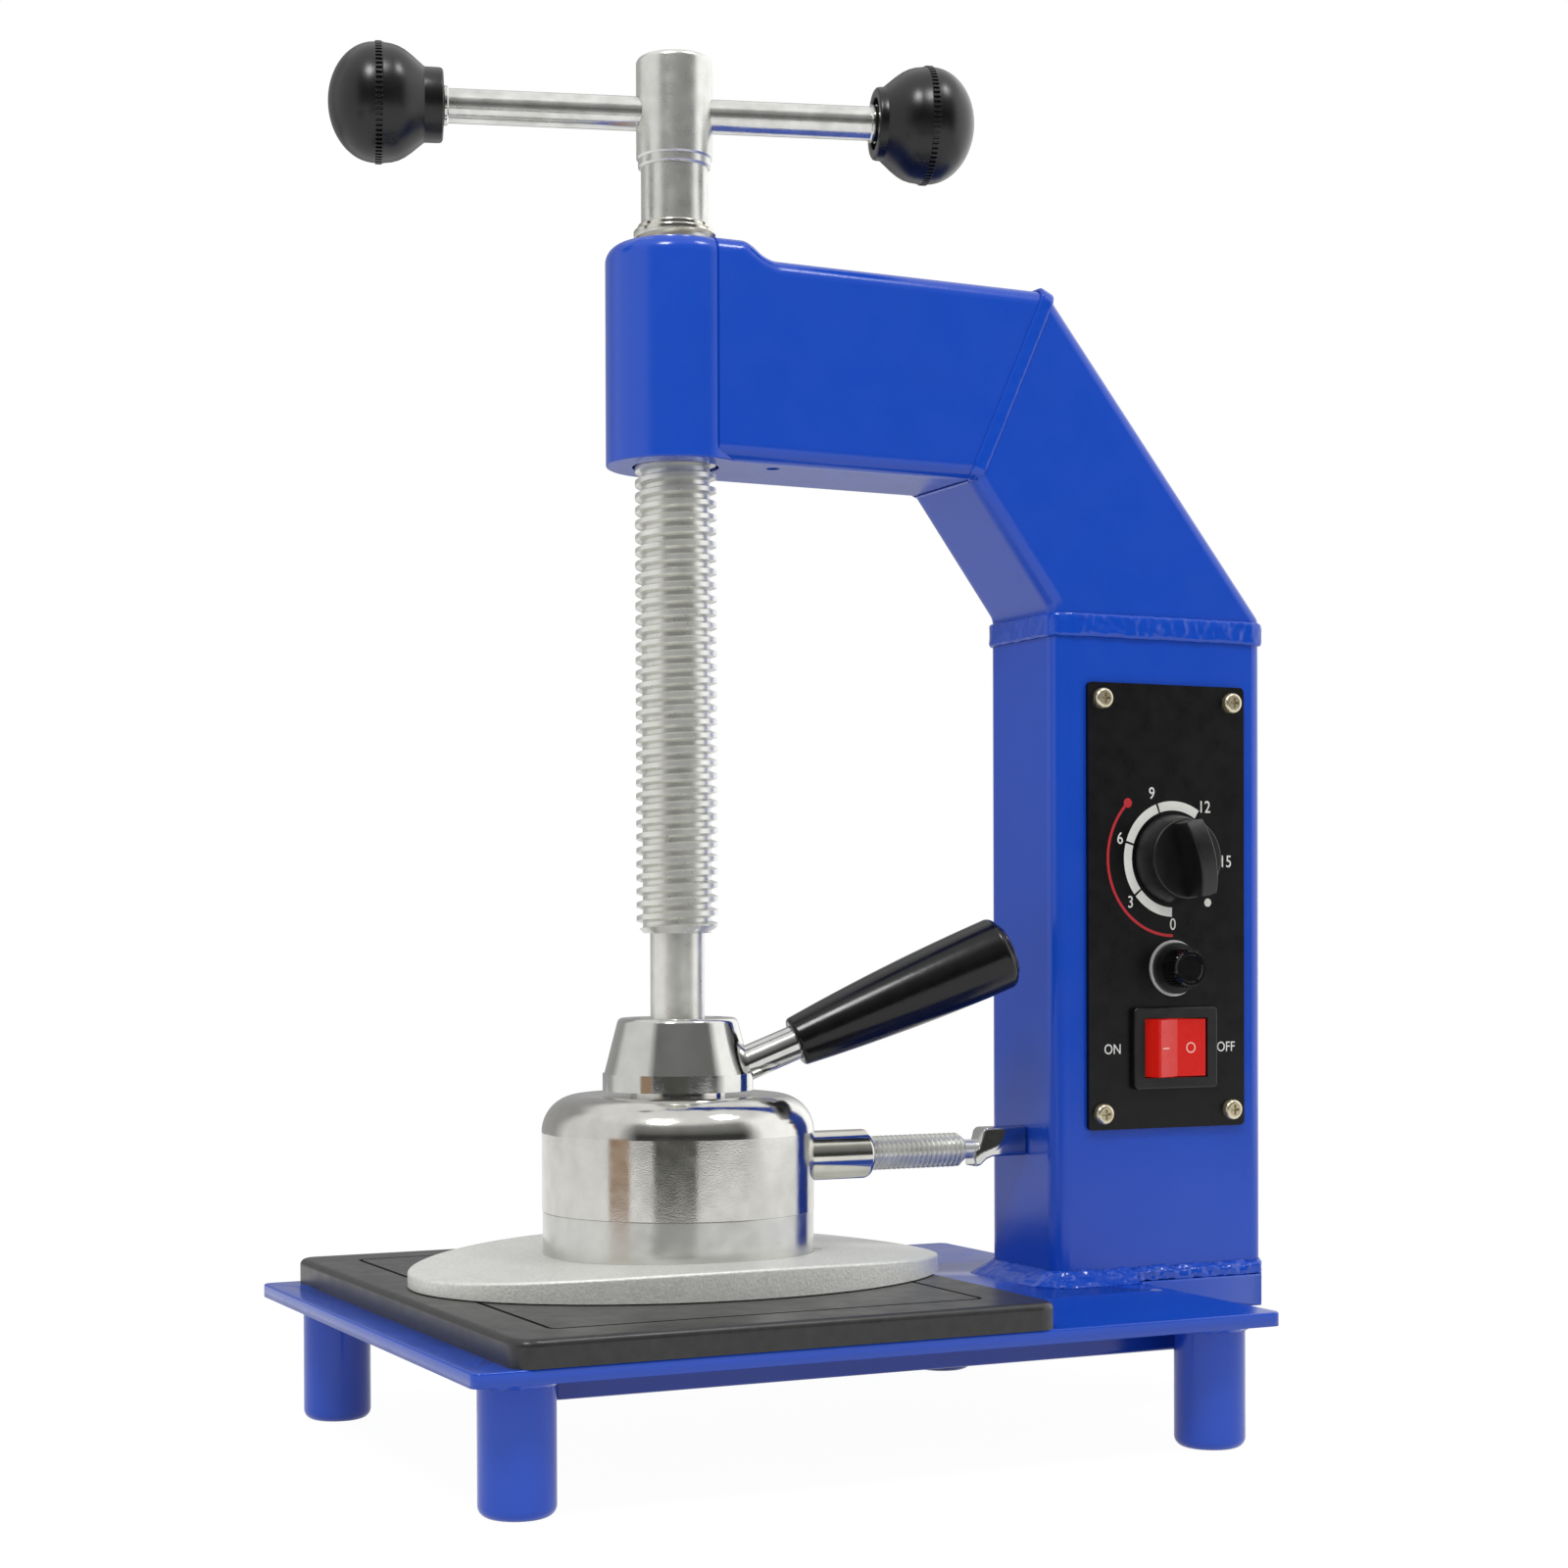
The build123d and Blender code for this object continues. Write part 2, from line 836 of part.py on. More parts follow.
def spindle_nut():
    """Bronze nut, bored to the thread's outer diameter."""
    bore = thread_diameter + 2 * shaft_gap
    nut = upright(2 * nut_radius, nut_bottom, nut_top)
    nut -= upright(bore, nut_bottom - overrun, nut_top + overrun)
    rims = nut.edges().filter_by(GeomType.CIRCLE).filter_by(lambda e: e.radius < nut_radius - overrun)
    return chamfer(rims, nut_chamfer)


def mitre_block(rise, radius, width):
    """A block across the whole mitre that stands out from the arm by a rise all round."""
    run = mitre_outer_x - mitre_inner_x
    length = math.hypot(run, arm_depth) + 2 * rise
    tilt = math.degrees(math.atan2(run, arm_depth))
    block = extrude(RectangleRounded(length, column_width + 2 * rise, radius), width / 2, both=True)
    middle = Pos((mitre_inner_x + mitre_outer_x) / 2, 0, arm_underside + arm_depth / 2)
    return middle * Rot(0, tilt, 0) * Rot(0, 90, 0), block


def mitre_weld():
    """Bead round the mitre between the arm and the sloping section, clear of its open root."""
    place, block = mitre_block(mitre_weld_rise, column_corner_radius, mitre_weld_width)
    block = fillet(top_edges(block) + bottom_edges(block), mitre_weld_edge)
    place, root = mitre_block(mitre_root_gap, mitre_root_radius, mitre_root_width)
    return place * block - arm_outer() - slope_outer() - place * root


def column_top_weld():
    """Bead round the joint between the column and the sloping section."""
    outline = RectangleRounded(
        column_depth + 2 * column_weld_rise,
        column_width + 2 * column_weld_rise,
        column_corner_radius + column_weld_rise,
    )
    block = extrude(outline, column_weld_width / 2, both=True)
    block = fillet(top_edges(block) + bottom_edges(block), column_weld_edge)
    return Pos(column_middle, 0, column_top) * block - column_outer() - slope_outer()


def column_base_weld():
    """Flared weld round the column's foot, stopped at the edges of the tongue."""
    grow = 2 * base_weld_reach
    outline = RectangleRounded(
        column_depth + grow, column_width + grow, column_corner_radius + base_weld_reach
    )
    slope = math.degrees(math.atan2(base_weld_reach - base_weld_lip, base_weld_height))
    flare = Pos(column_middle, 0, base_top) * extrude(outline, base_weld_height, taper=slope)
    side = (Align.MAX, Align.CENTER, Align.CENTER)
    keep = Pos(tongue_front - edge_break, 0, base_top) * Box(base_length, base_width, base_length, align=side)
    tongue = Box(base_length, tongue_width - 2 * edge_break, base_length, align=side)
    keep += Pos(base_rear - edge_break, 0, base_top) * tongue
    return (flare & keep) - column_outer()


def panel_screw_places():
    """X and Z of the four panel screws."""
    corners = four_corners(panel_width / 2 - panel_screw_inset, panel_height / 2 - panel_screw_inset)
    return [(panel_middle + x, panel_bottom + panel_height / 2 + z) for x, z in corners]


def control_panel():
    """Sheet panel with holes for the timer, the fuse holder and the switch."""
    outline = RectangleRounded(panel_width, panel_height, panel_corner_radius)
    sheet = Pos(panel_middle, panel_back, panel_bottom + panel_height / 2) * Rot(90, 0, 0) * outline
    panel = extrude(sheet, panel_thickness)
    near = panel_face - overrun
    far = panel_back + overrun
    for x, z in panel_screw_places():
        panel -= along_y(panel_screw_diameter, near, far, x, z)
    panel -= along_y(timer_bush_diameter, near, far, controls_x, timer_z)
    panel -= along_y(fuse_body_diameter, near, far, controls_x, fuse_z)
    cut = Box(switch_body_width, panel_thickness + 2 * overrun, switch_body_height)
    return panel - Pos(controls_x, panel_back - panel_thickness / 2, switch_z) * cut


def panel_screws():
    """Four pan-head screws with crossed recesses."""
    screw = pan_head_screw(
        panel_screw_diameter,
        panel_screw_head_diameter,
        panel_screw_head_height,
        panel_screw_length,
    )
    slot_length = panel_screw_head_diameter / 2
    slot_width = panel_screw_head_height / 3
    slot = Box(slot_length, slot_width, panel_screw_head_height)
    cross = slot + Rot(0, 0, 90) * slot
    screw -= Pos(0, 0, -panel_screw_head_height) * cross
    return [Pos(x, panel_face, z) * Rot(-90, 0, 0) * screw for x, z in panel_screw_places()]


def timer_body():
    """Clockwork timer behind the panel, with its threaded bush through the panel."""
    case = Box(
        timer_body_width,
        timer_body_depth,
        timer_body_width,
        align=(Align.CENTER, Align.MIN, Align.CENTER),
    )
    case = fillet(case.edges().filter_by(Axis.Y), panel_window_radius / 2)
    case = Pos(controls_x, panel_back + panel_window_back(), timer_z) * case
    case += along_y(timer_bush_diameter, panel_face, panel_back + panel_window_back(), controls_x, timer_z)
    bore = timer_shaft_diameter + 2 * shaft_gap
    depth = timer_shaft_depth + running_gap
    return case - along_y(bore, panel_face - overrun, panel_face + depth, controls_x, timer_z)


def panel_window_back():
    """How far behind the panel the timer's case starts, clear of the window's edge."""
    return column_wall + edge_break


def timer_shaft():
    """Shaft from the timer out into the knob."""
    near = panel_face - knob_height / 2
    return along_y(timer_shaft_diameter, near, panel_face + timer_shaft_depth, controls_x, timer_z)


def timer_knob():
    """Round knob with a raised wing to grip, whose front edge is arched."""
    skirt = Cone(knob_diameter / 2, knob_face_diameter / 2, knob_skirt_height, align=standing)
    skirt = fillet(top_edges(skirt), edge_break)
    half = knob_face_diameter / 2
    wing_end = knob_height - knob_wing_end_drop
    arch = ThreePointArc((-half, wing_end), (0, knob_height), (half, wing_end))
    sides = Polyline((half, wing_end), (half, 0), (-half, 0), (-half, wing_end))
    wing = extrude(Plane.XZ * make_face(arch + sides), knob_wing_width / 2, both=True)
    wing = fillet(wing.edges().sort_by(Axis.Z)[-2:], edge_break)
    wing &= Cylinder(half - edge_break, knob_height, align=standing)
    body = skirt + wing
    body -= Cylinder(timer_shaft_diameter / 2, knob_height / 2 - running_gap, align=standing)
    turned = Rot(0, 0, knob_rest_angle) * body
    return Pos(controls_x, panel_face - running_gap, timer_z) * Rot(90, 0, 0) * turned


def fuse_holder():
    """Fuse holder: a flange in front of the panel and a tube behind it."""
    front = panel_face - fuse_washer_thickness
    holder = along_y(fuse_flange_diameter, front - fuse_flange_height, front, controls_x, fuse_z)
    holder += along_y(fuse_body_diameter, front, panel_back + fuse_body_depth, controls_x, fuse_z)
    bore = fuse_cap_stem_diameter + 2 * shaft_gap
    depth = fuse_length + fuse_cap_stem_depth
    return holder - along_y(bore, front - fuse_flange_height - overrun, front + depth, controls_x, fuse_z)


def fuse_washer():
    """Bright washer between the fuse holder's flange and the panel."""
    near = panel_face - fuse_washer_thickness
    ring = along_y(fuse_washer_diameter, near, panel_face, controls_x, fuse_z)
    return ring - along_y(fuse_body_diameter, near - overrun, panel_face + overrun, controls_x, fuse_z)


def glass_fuse():
    """Glass tube fuse with a metal cap at each end."""
    far = panel_face - fuse_washer_thickness + fuse_length + fuse_cap_stem_depth
    return along_y(fuse_diameter, far - fuse_length + running_gap, far, controls_x, fuse_z)


def fuse_cap():
    """Slotted bayonet cap that closes the fuse holder."""
    seat = panel_face - fuse_washer_thickness - fuse_flange_height - running_gap
    near = seat - fuse_cap_height
    cap = along_y(fuse_cap_diameter, near, seat, controls_x, fuse_z)
    cap = chamfer(cap.faces().sort_by(Axis.Y)[0].edges(), edge_break)
    slot = Box(fuse_cap_diameter, 2 * fuse_cap_slot_depth, fuse_cap_slot_width)
    cap -= Pos(controls_x, near, fuse_z) * slot
    return cap + along_y(fuse_cap_stem_diameter, seat, seat + fuse_cap_stem_depth, controls_x, fuse_z)


def switch_housing():
    """Switch body with a raised bezel and an opening for the rocker."""
    bezel = RectangleRounded(switch_bezel_width, switch_bezel_height, panel_corner_radius)
    bezel = Pos(controls_x, panel_face, switch_z) * Rot(90, 0, 0) * bezel
    housing = extrude(bezel, switch_bezel_rise)
    housing = fillet(housing.faces().sort_by(Axis.Y)[0].edges(), edge_break)
    body = Box(
        switch_body_width,
        switch_body_depth + panel_thickness,
        switch_body_height,
        align=(Align.CENTER, Align.MIN, Align.CENTER),
    )
    housing += Pos(controls_x, panel_face, switch_z) * body
    opening = Box(
        switch_opening_width,
        switch_opening_depth + switch_bezel_rise,
        switch_opening_height,
        align=(Align.CENTER, Align.MIN, Align.CENTER),
    )
    housing -= Pos(controls_x, panel_face - switch_bezel_rise - edge_break, switch_z) * opening
    pin_hole = rocker_pin_diameter + 2 * shaft_gap
    reach = switch_opening_height / 2 + rocker_pin_length
    y = panel_face + rocker_pivot_depth
    return housing - upright(pin_hole, switch_z - reach, switch_z + reach, controls_x, y)


def rocker():
    """Rocker with two sloping halves, at rest with its right half pressed in."""
    half = rocker_width / 2
    crest = rocker_pivot_depth + switch_bezel_rise
    rise = half * math.tan(math.radians(rocker_throw))
    outline = Polyline(
        (-half, -crest - rise),
        (0, -crest + rocker_crown - rise / 2),
        (half, -crest - rise),
        (half - rocker_crown, rocker_back),
        (-half + rocker_crown, rocker_back),
        close=True,
    )
    face = fillet(make_face(outline).vertices(), edge_break)
    body = extrude(face, rocker_height / 2, both=True)
    reach = switch_opening_height / 2 + rocker_pin_length - running_gap
    body += Cylinder(rocker_pin_diameter / 2, 2 * reach)
    pivot = Pos(controls_x, panel_face + rocker_pivot_depth, switch_z)
    return pivot * Rot(0, 0, rocker_throw) * body


def gland_z():
    """Height of the cable gland."""
    return base_top + gland_rise


def cord_gland():
    """Empty cable gland, with its tail through the column's far wall."""
    start = column_side - column_wall
    seat = column_side + gland_flange_height
    gland = along_y(gland_flange_diameter, column_side, seat, column_middle, gland_z())
    gland += along_y(gland_nut_diameter, start, seat + gland_nut_height, column_middle, gland_z())
    gland = chamfer(gland.faces().sort_by(Axis.Y)[-1].edges(), edge_break)
    end = seat + gland_nut_height + overrun
    return gland - along_y(gland_bore_diameter, start - overrun, end, column_middle, gland_z())


def plate_screw_places():
    """Places of the screws on a circle about the press axis."""
    step = 2 * math.pi / plate_screw_count
    angles = [math.pi / 2 + step * index for index in range(plate_screw_count)]
    return [
        (press_x + plate_screw_circle_radius * math.cos(a), plate_screw_circle_radius * math.sin(a))
        for a in angles
    ]


def plate_blank():
    """The oval casting: flat below, arched along its length above."""
    outline = Pos(press_x, 0, plate_underside) * Ellipse(plate_length / 2, plate_width / 2)
    slab = extrude(outline, plate_thickness + overrun)
    arch = Rot(90, 0, 0) * Cylinder(plate_crown_radius, plate_width + overrun)
    return slab & (Pos(press_x, 0, plate_top - plate_crown_radius) * arch)


def pressing_plate():
    """Oval cast plate that presses the patch, with a flat seat for the head's disc."""
    plate = plate_blank()
    crown = plate.faces().sort_by(Axis.Z)[-1]
    plate = fillet(crown.edges(), plate_edge_radius)
    plate -= upright(head_diameter + running_gap, plate_seat, plate_top + overrun)
    for x, y in plate_screw_places():
        plate -= upright(plate_screw_diameter, plate_underside - overrun, plate_top + overrun, x, y)
        recess_top = plate_underside + plate_screw_head_height
        plate -= upright(plate_screw_head_diameter, plate_underside - overrun, recess_top, x, y)
    dimple_x = press_x + plate_dimple_reach
    dimple_bottom = plate_top - plate_dimple_depth
    return plate - upright(
        plate_dimple_diameter, dimple_bottom, plate_top + overrun, dimple_x, -plate_dimple_offset
    )


def press_plate_screws():
    """Screws that hold the pressing plate to the head's disc."""
    screws = []
    for x, y in plate_screw_places():
        head_top = plate_underside + plate_screw_head_height
        head = upright(plate_screw_head_diameter, plate_underside + edge_break, head_top, x, y)
        shank_top = head_top + plate_screw_length - plate_screw_head_height
        screws.append(head + upright(plate_screw_diameter, head_top, shank_top, x, y))
    return screws


def head_disc():
    """Turned disc with a boss that takes the screw's thrust."""
    disc = upright(head_diameter, plate_seat, disc_top)
    disc = fillet(top_edges(disc), edge_break / 2)
    disc += upright(disc_boss_diameter, disc_top, thrust_bottom)
    for x, y in plate_screw_places():
        top = plate_underside + plate_screw_length
        disc -= upright(plate_screw_diameter, plate_seat - overrun, top, x, y)
    return disc


def head_cap():
    """Chromed cap with a round shoulder, hollow inside, with a neck for the cone."""
    outer = head_diameter + 2 * cap_overlap
    body = upright(outer, disc_top, cap_top)
    body = fillet(top_edges(body), cap_shoulder_radius)
    body += upright(cap_neck_diameter, cap_top, cap_top + cap_neck_height)
    hollow = upright(outer - 2 * cap_wall, disc_top - overrun, cap_top - cap_roof)
    hollow = fillet(top_edges(hollow), cap_shoulder_radius - cap_wall)
    body -= hollow
    bore = shank_diameter + 2 * shaft_gap
    body -= upright(bore, disc_top, cap_top + cap_neck_height + overrun)
    start = press_x + outer / 2 - cap_wall - overrun
    return body - along_x(ferrule_diameter, start, press_x + ferrule_reach, guide_z)


def thrust_washer():
    """Bronze washer between the disc's boss and the thrust collar."""
    return upright(collar_diameter, thrust_bottom, thrust_top)


def guide_ferrule():
    """Plated sleeve that holds the guide stud in the cap's wall."""
    start = press_x + head_diameter / 2 - cap_wall
    sleeve = along_x(ferrule_diameter, start, press_x + ferrule_reach, guide_z)
    sleeve = fillet(sleeve.faces().sort_by(Axis.X)[-1].edges(), ferrule_edge_radius)
    return sleeve - along_x(stud_diameter, start - overrun, press_x + ferrule_reach + overrun, guide_z)


def guide_stud():
    """Threaded stud with a thin neck that carries the guide shoe."""
    start = press_x + head_diameter / 2 - cap_wall
    stud_end = shoe_front() - stud_neck_length
    stud = along_x(stud_diameter, start, stud_end, guide_z)
    stud = chamfer(stud.faces().sort_by(Axis.X)[-1].edges(), stud_chamfer)
    return stud + along_x(stud_neck_diameter, stud_end, shoe_front() + shoe_insertion, guide_z)


def shoe_front():
    """Where the guide shoe starts along X."""
    return column_front - running_gap - shoe_length


def guide_shoe():
    """Flat shoe that slides on the column's face."""
    block = Box(shoe_length, shoe_width, shoe_height, align=(Align.MIN, Align.CENTER, Align.CENTER))
    block = fillet(block.edges().filter_by(Axis.X), shoe_edge_radius)
    block = Pos(shoe_front(), 0, guide_z + shoe_rise) * block
    neck_end = shoe_front() + shoe_insertion
    return block - along_x(stud_neck_diameter, shoe_front() - overrun, neck_end, guide_z)


def lead_screw():
    """Press spindle: collar seat, plain shank, threaded part and tip."""
    spindle = upright(shank_end_diameter, collar_bottom, collar_top)
    spindle += upright(shank_diameter, collar_top, thread_bottom)
    thread = upright(thread_diameter, thread_bottom, thread_top)
    spindle += chamfer(bottom_edges(thread), thread_chamfer)
    spindle += upright(spindle_tip_diameter, thread_top, t_cap_bottom + spindle_tip_depth)
    return spindle - collar_pin_solid()


def collar_pin_solid():
    """Pin across the thrust collar."""
    half = collar_diameter / 2
    middle = (collar_bottom + collar_top) / 2
    return along_x(collar_pin_diameter, press_x - half, press_x + half, middle)


def thrust_collar():
    """Collar pinned to the spindle's lower end, which lifts the head."""
    ring = upright(collar_diameter, collar_bottom, collar_top)
    ring -= upright(shank_end_diameter, collar_bottom - overrun, collar_top + overrun)
    return ring - collar_pin_solid()


def top_washers():
    """Two washers on the end of the thread."""
    split = thread_top + lower_washer_height
    lower = fillet(top_edges(upright(lower_washer_diameter, thread_top, split)), edge_break)
    upper = fillet(top_edges(upright(upper_washer_diameter, split, washers_top)), edge_break)
    hole = upright(spindle_tip_diameter, thread_top - overrun, washers_top + overrun)
    return [lower - hole, upper - hole]


def neck_sleeve():
    """Polished sleeve under the T cap, with a lip at its top."""
    sleeve = upright(sleeve_diameter, washers_top, sleeve_top)
    lip = upright(sleeve_lip_diameter, sleeve_top, t_cap_bottom)
    sleeve += chamfer(bottom_edges(lip), (sleeve_lip_diameter - sleeve_diameter) / 2 - running_gap)
    return sleeve - upright(spindle_tip_diameter, washers_top - overrun, t_cap_bottom + overrun)


def bar_frame():
    """Location of the cross bar's own axes, with X along the bar."""
    return Pos(press_x, 0, bar_z) * Rot(0, 0, bar_azimuth)


def t_cap():
    """Cap on the spindle's tip, cross-drilled for the bar."""
    cap = upright(t_cap_diameter, t_cap_bottom, t_cap_top)
    cap = fillet(top_edges(cap), t_cap_edge_radius)
    cap = chamfer(bottom_edges(cap), edge_break)
    cap -= upright(spindle_tip_diameter, t_cap_bottom - overrun, t_cap_bottom + spindle_tip_depth)
    bore = bar_diameter + 2 * shaft_gap
    hole = Rot(0, 90, 0) * Cylinder(bore / 2, 2 * t_cap_diameter)
    return cap - bar_frame() * hole


def cross_bar():
    """Round bar between the two ball knobs."""
    half = ball_spacing / 2 + bar_insertion
    bar = Rot(0, 90, 0) * Cylinder(bar_diameter / 2, 2 * half)
    return bar_frame() * Pos(bar_slide, 0, 0) * bar


def ball_profile():
    """The ball knob's half outline: ball, ribbed seam, collar and blind hole for the bar."""
    radius = ball_diameter / 2
    seam_angle = math.degrees(math.asin(ball_seam_width / ball_diameter))
    collar_angle = math.degrees(math.asin(ball_collar_diameter / ball_diameter))
    outer = CenterArc((0, 0), radius, 90 + seam_angle, 90 - seam_angle)
    inner = CenterArc((0, 0), radius, collar_angle, 90 - seam_angle - collar_angle)
    seam_top = radius + ball_seam_rise
    seam_half = ball_seam_width / 2
    seam = Polyline(outer @ 0, (-seam_half, seam_top), (seam_half, seam_top), inner @ 1)
    collar = Polyline(
        inner @ 0,
        (ball_collar_reach, ball_collar_diameter / 2),
        (ball_collar_reach, bar_diameter / 2),
        (-bar_insertion, bar_diameter / 2),
        (-bar_insertion, 0),
        outer @ 1,
    )
    face = make_face(outer + seam + inner + collar)
    lip = face.vertices().sort_by(lambda corner: corner.X + corner.Y)[-1]
    return fillet(lip, ball_collar_lip)


def ball_knob(side):
    """Moulded ball with a ribbed seam and a collar, on one end of the bar."""
    body = revolve(ball_profile(), Axis.X)
    inward = Rot(0, 0, 180) if side > 0 else Rot(0, 0, 0)
    return bar_frame() * Pos(bar_slide + side * ball_spacing / 2, 0, 0) * inward * body


def lever_frame():
    """Location of the lever's own axes, with X along the lever."""
    turn = Pos(press_x, 0, hub_bottom + lever_stem_rise) * Rot(0, 0, lever_azimuth)
    return turn * Pos(lever_stem_reach, 0, 0) * Rot(0, -lever_slope, 0)


def lever_stem():
    """Plated stem screwed into the cone's side."""
    length = lever_stem_root + grip_reach + grip_insertion
    stem = Rot(0, 90, 0) * Cylinder(lever_stem_diameter / 2, length, align=standing)
    return lever_frame() * Pos(-lever_stem_root, 0, 0) * stem


def cone_hub():
    """Chromed cone that turns on the cap's neck, with two pin holes on top."""
    band_top = hub_bottom + hub_band_height
    hub = upright(hub_diameter, hub_bottom, band_top)
    upper = hub_height - hub_band_height
    cone = Cone(hub_diameter / 2 - hub_step, hub_top_diameter / 2, upper, align=standing)
    hub += Pos(press_x, 0, band_top) * fillet(top_edges(cone), hub_edge_radius)
    seat = cap_top + cap_neck_height + running_gap
    hub -= upright(cap_neck_diameter + 2 * shaft_gap, hub_bottom - overrun, seat)
    hub -= upright(shank_diameter + 2 * shaft_gap, seat - overrun, hub_top + overrun)
    for side in (-1, 1):
        x = press_x + side * hub_pin_circle_radius
        hub -= upright(hub_pin_hole_diameter, hub_top - hub_pin_hole_depth, hub_top + overrun, x)
    return hub - lever_stem()


def grip_profile():
    """The grip's outline from its root to its end, above the lever's axis."""
    root = (0, grip_root_diameter / 2)
    middle = (grip_length / 2, grip_middle_diameter / 2)
    end = (grip_length, grip_end_diameter / 2)
    curve = ThreePointArc(root, middle, end)
    closing = Polyline(end, (grip_length, 0), (0, 0), root)
    return make_face(curve + closing)


def lever_grip():
    """Tapered grip with a slightly bellied side and a recess for its end cap."""
    grip = revolve(grip_profile(), Axis.X)
    grip = fillet(grip.faces().sort_by(Axis.X)[-1].edges(), grip_end_radius)
    grip = fillet(grip.faces().sort_by(Axis.X)[0].edges(), grip_root_radius)
    bore = Rot(0, 90, 0) * Cylinder(lever_stem_diameter / 2, grip_insertion, align=standing)
    recess = Rot(0, 90, 0) * Cylinder(grip_cap_diameter / 2, grip_length, align=standing)
    grip = grip - bore - Pos(grip_length - grip_cap_depth, 0, 0) * recess
    return lever_frame() * Pos(grip_reach, 0, 0) * grip


def grip_end_cap():
    """Glossy domed cap in the grip's end."""
    height = grip_cap_depth + grip_cap_rise
    cap = Rot(0, 90, 0) * Cylinder(grip_cap_diameter / 2, height, align=standing)
    cap = fillet(cap.faces().sort_by(Axis.X)[-1].edges(), grip_cap_rise)
    return lever_frame() * Pos(grip_reach + grip_length - grip_cap_depth, 0, 0) * cap


def all_nodes():
    """Every node's name with its solid, or its list of separate solids."""
    nodes = {
        "base_plate": base_plate(),
        "foot_welds": foot_welds(),
        "platen": platen(),
        "lower_heater": lower_heater(),
        "heater_insulation": heater_insulation(),
        "platen_screws": platen_screws(),
        "bottom_tray": bottom_tray(),
        "tray_screws": tray_screws(),
        "thermostat": thermostat(),
        "terminal_block": terminal_block(),
        "column": column(),
        "slope_section": slope_section(),
        "arm": arm(),
        "nut_housing": nut_housing(),
        "spindle_nut": spindle_nut(),
        "mitre_weld": mitre_weld(),
        "column_top_weld": column_top_weld(),
        "column_base_weld": column_base_weld(),
        "control_panel": control_panel(),
        "panel_screws": panel_screws(),
        "timer_body": timer_body(),
        "timer_shaft": timer_shaft(),
        "timer_knob": timer_knob(),
        "fuse_holder": fuse_holder(),
        "fuse_washer": fuse_washer(),
        "glass_fuse": glass_fuse(),
        "fuse_cap": fuse_cap(),
        "switch_housing": switch_housing(),
        "rocker": rocker(),
        "cord_gland": cord_gland(),
        "pressing_plate": pressing_plate(),
        "press_plate_screws": press_plate_screws(),
        "head_disc": head_disc(),
        "head_cap": head_cap(),
        "thrust_washer": thrust_washer(),
        "guide_ferrule": guide_ferrule(),
        "guide_stud": guide_stud(),
        "guide_shoe": guide_shoe(),
        "lead_screw": lead_screw(),
        "thrust_collar": thrust_collar(),
        "collar_pin": collar_pin_solid(),
        "top_washers": top_washers(),
        "neck_sleeve": neck_sleeve(),
        "t_cap": t_cap(),
        "cross_bar": cross_bar(),
        "ball_left": ball_knob(-1),
        "ball_right": ball_knob(1),
        "cone_hub": cone_hub(),
        "lever_stem": lever_stem(),
        "lever_grip": lever_grip(),
        "grip_end_cap": grip_end_cap(),
    }
    for name, place in foot_places().items():
        nodes[name] = foot(place)
    return nodes


os.makedirs("parts", exist_ok=True)
for name, shape in all_nodes().items():
    solids = shape if isinstance(shape, list) else [shape]
    export_step(Compound(children=[s for piece in solids for s in piece.solids()]), f"parts/{name}.step")
print("wrote", len(os.listdir("parts")), "nodes")
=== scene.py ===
"""Looks for a bench-top tire vulcanizer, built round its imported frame."""

import json
import math

import bpy
from bpy.props import FloatProperty, FloatVectorProperty, IntProperty, PointerProperty
from mathutils import Matrix, Vector


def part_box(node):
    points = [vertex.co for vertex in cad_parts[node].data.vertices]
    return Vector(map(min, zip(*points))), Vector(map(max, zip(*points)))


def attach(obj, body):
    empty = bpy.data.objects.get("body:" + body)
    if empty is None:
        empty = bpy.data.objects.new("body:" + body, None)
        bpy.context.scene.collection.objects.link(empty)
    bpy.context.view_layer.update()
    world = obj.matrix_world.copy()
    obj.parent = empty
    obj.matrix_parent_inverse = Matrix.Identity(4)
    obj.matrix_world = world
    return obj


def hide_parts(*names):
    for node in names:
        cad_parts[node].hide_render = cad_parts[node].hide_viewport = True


bl_info = {
    "name": "Tire Vulcanizer",
    "version": (1, 0, 0),
    "blender": (4, 5, 0),
    "location": "View3D > Sidebar > Vulcanizer",
    "description": "Adds the threads, knobs, welds, print and finishes of a bench tire vulcanizer",
    "category": "Add Mesh",
}

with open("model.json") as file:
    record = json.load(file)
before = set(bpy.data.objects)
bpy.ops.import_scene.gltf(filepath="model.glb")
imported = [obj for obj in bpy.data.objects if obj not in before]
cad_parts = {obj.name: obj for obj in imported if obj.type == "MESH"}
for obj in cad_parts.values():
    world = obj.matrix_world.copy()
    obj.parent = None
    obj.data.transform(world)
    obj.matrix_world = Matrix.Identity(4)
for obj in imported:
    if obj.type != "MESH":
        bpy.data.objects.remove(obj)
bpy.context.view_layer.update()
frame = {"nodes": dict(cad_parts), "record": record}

MM = 0.001
FULL_TURN = 2 * math.pi
QUARTER = math.pi / 2
SMOOTH_ANGLE = math.radians(35)
WELD_DISTANCE = 0.01 * MM

# Every finish by its slot, once they are made.
materials = {}


def low(node):
    """The lowest corner of a CAD node's box."""
    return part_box(node)[0]


def high(node):
    """The highest corner of a CAD node's box."""
    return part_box(node)[1]


def middle(node):
    """The middle of a CAD node's box."""
    return (low(node) + high(node)) / 2


def length(name, description, default):
    """A length property in metres."""
    return FloatProperty(
        name=name, description=description, default=default, min=0, unit="LENGTH", precision=5
    )


def angle(name, description, degrees):
    """An angle property whose default is given in degrees."""
    return FloatProperty(
        name=name, description=description, default=math.radians(degrees), subtype="ANGLE"
    )


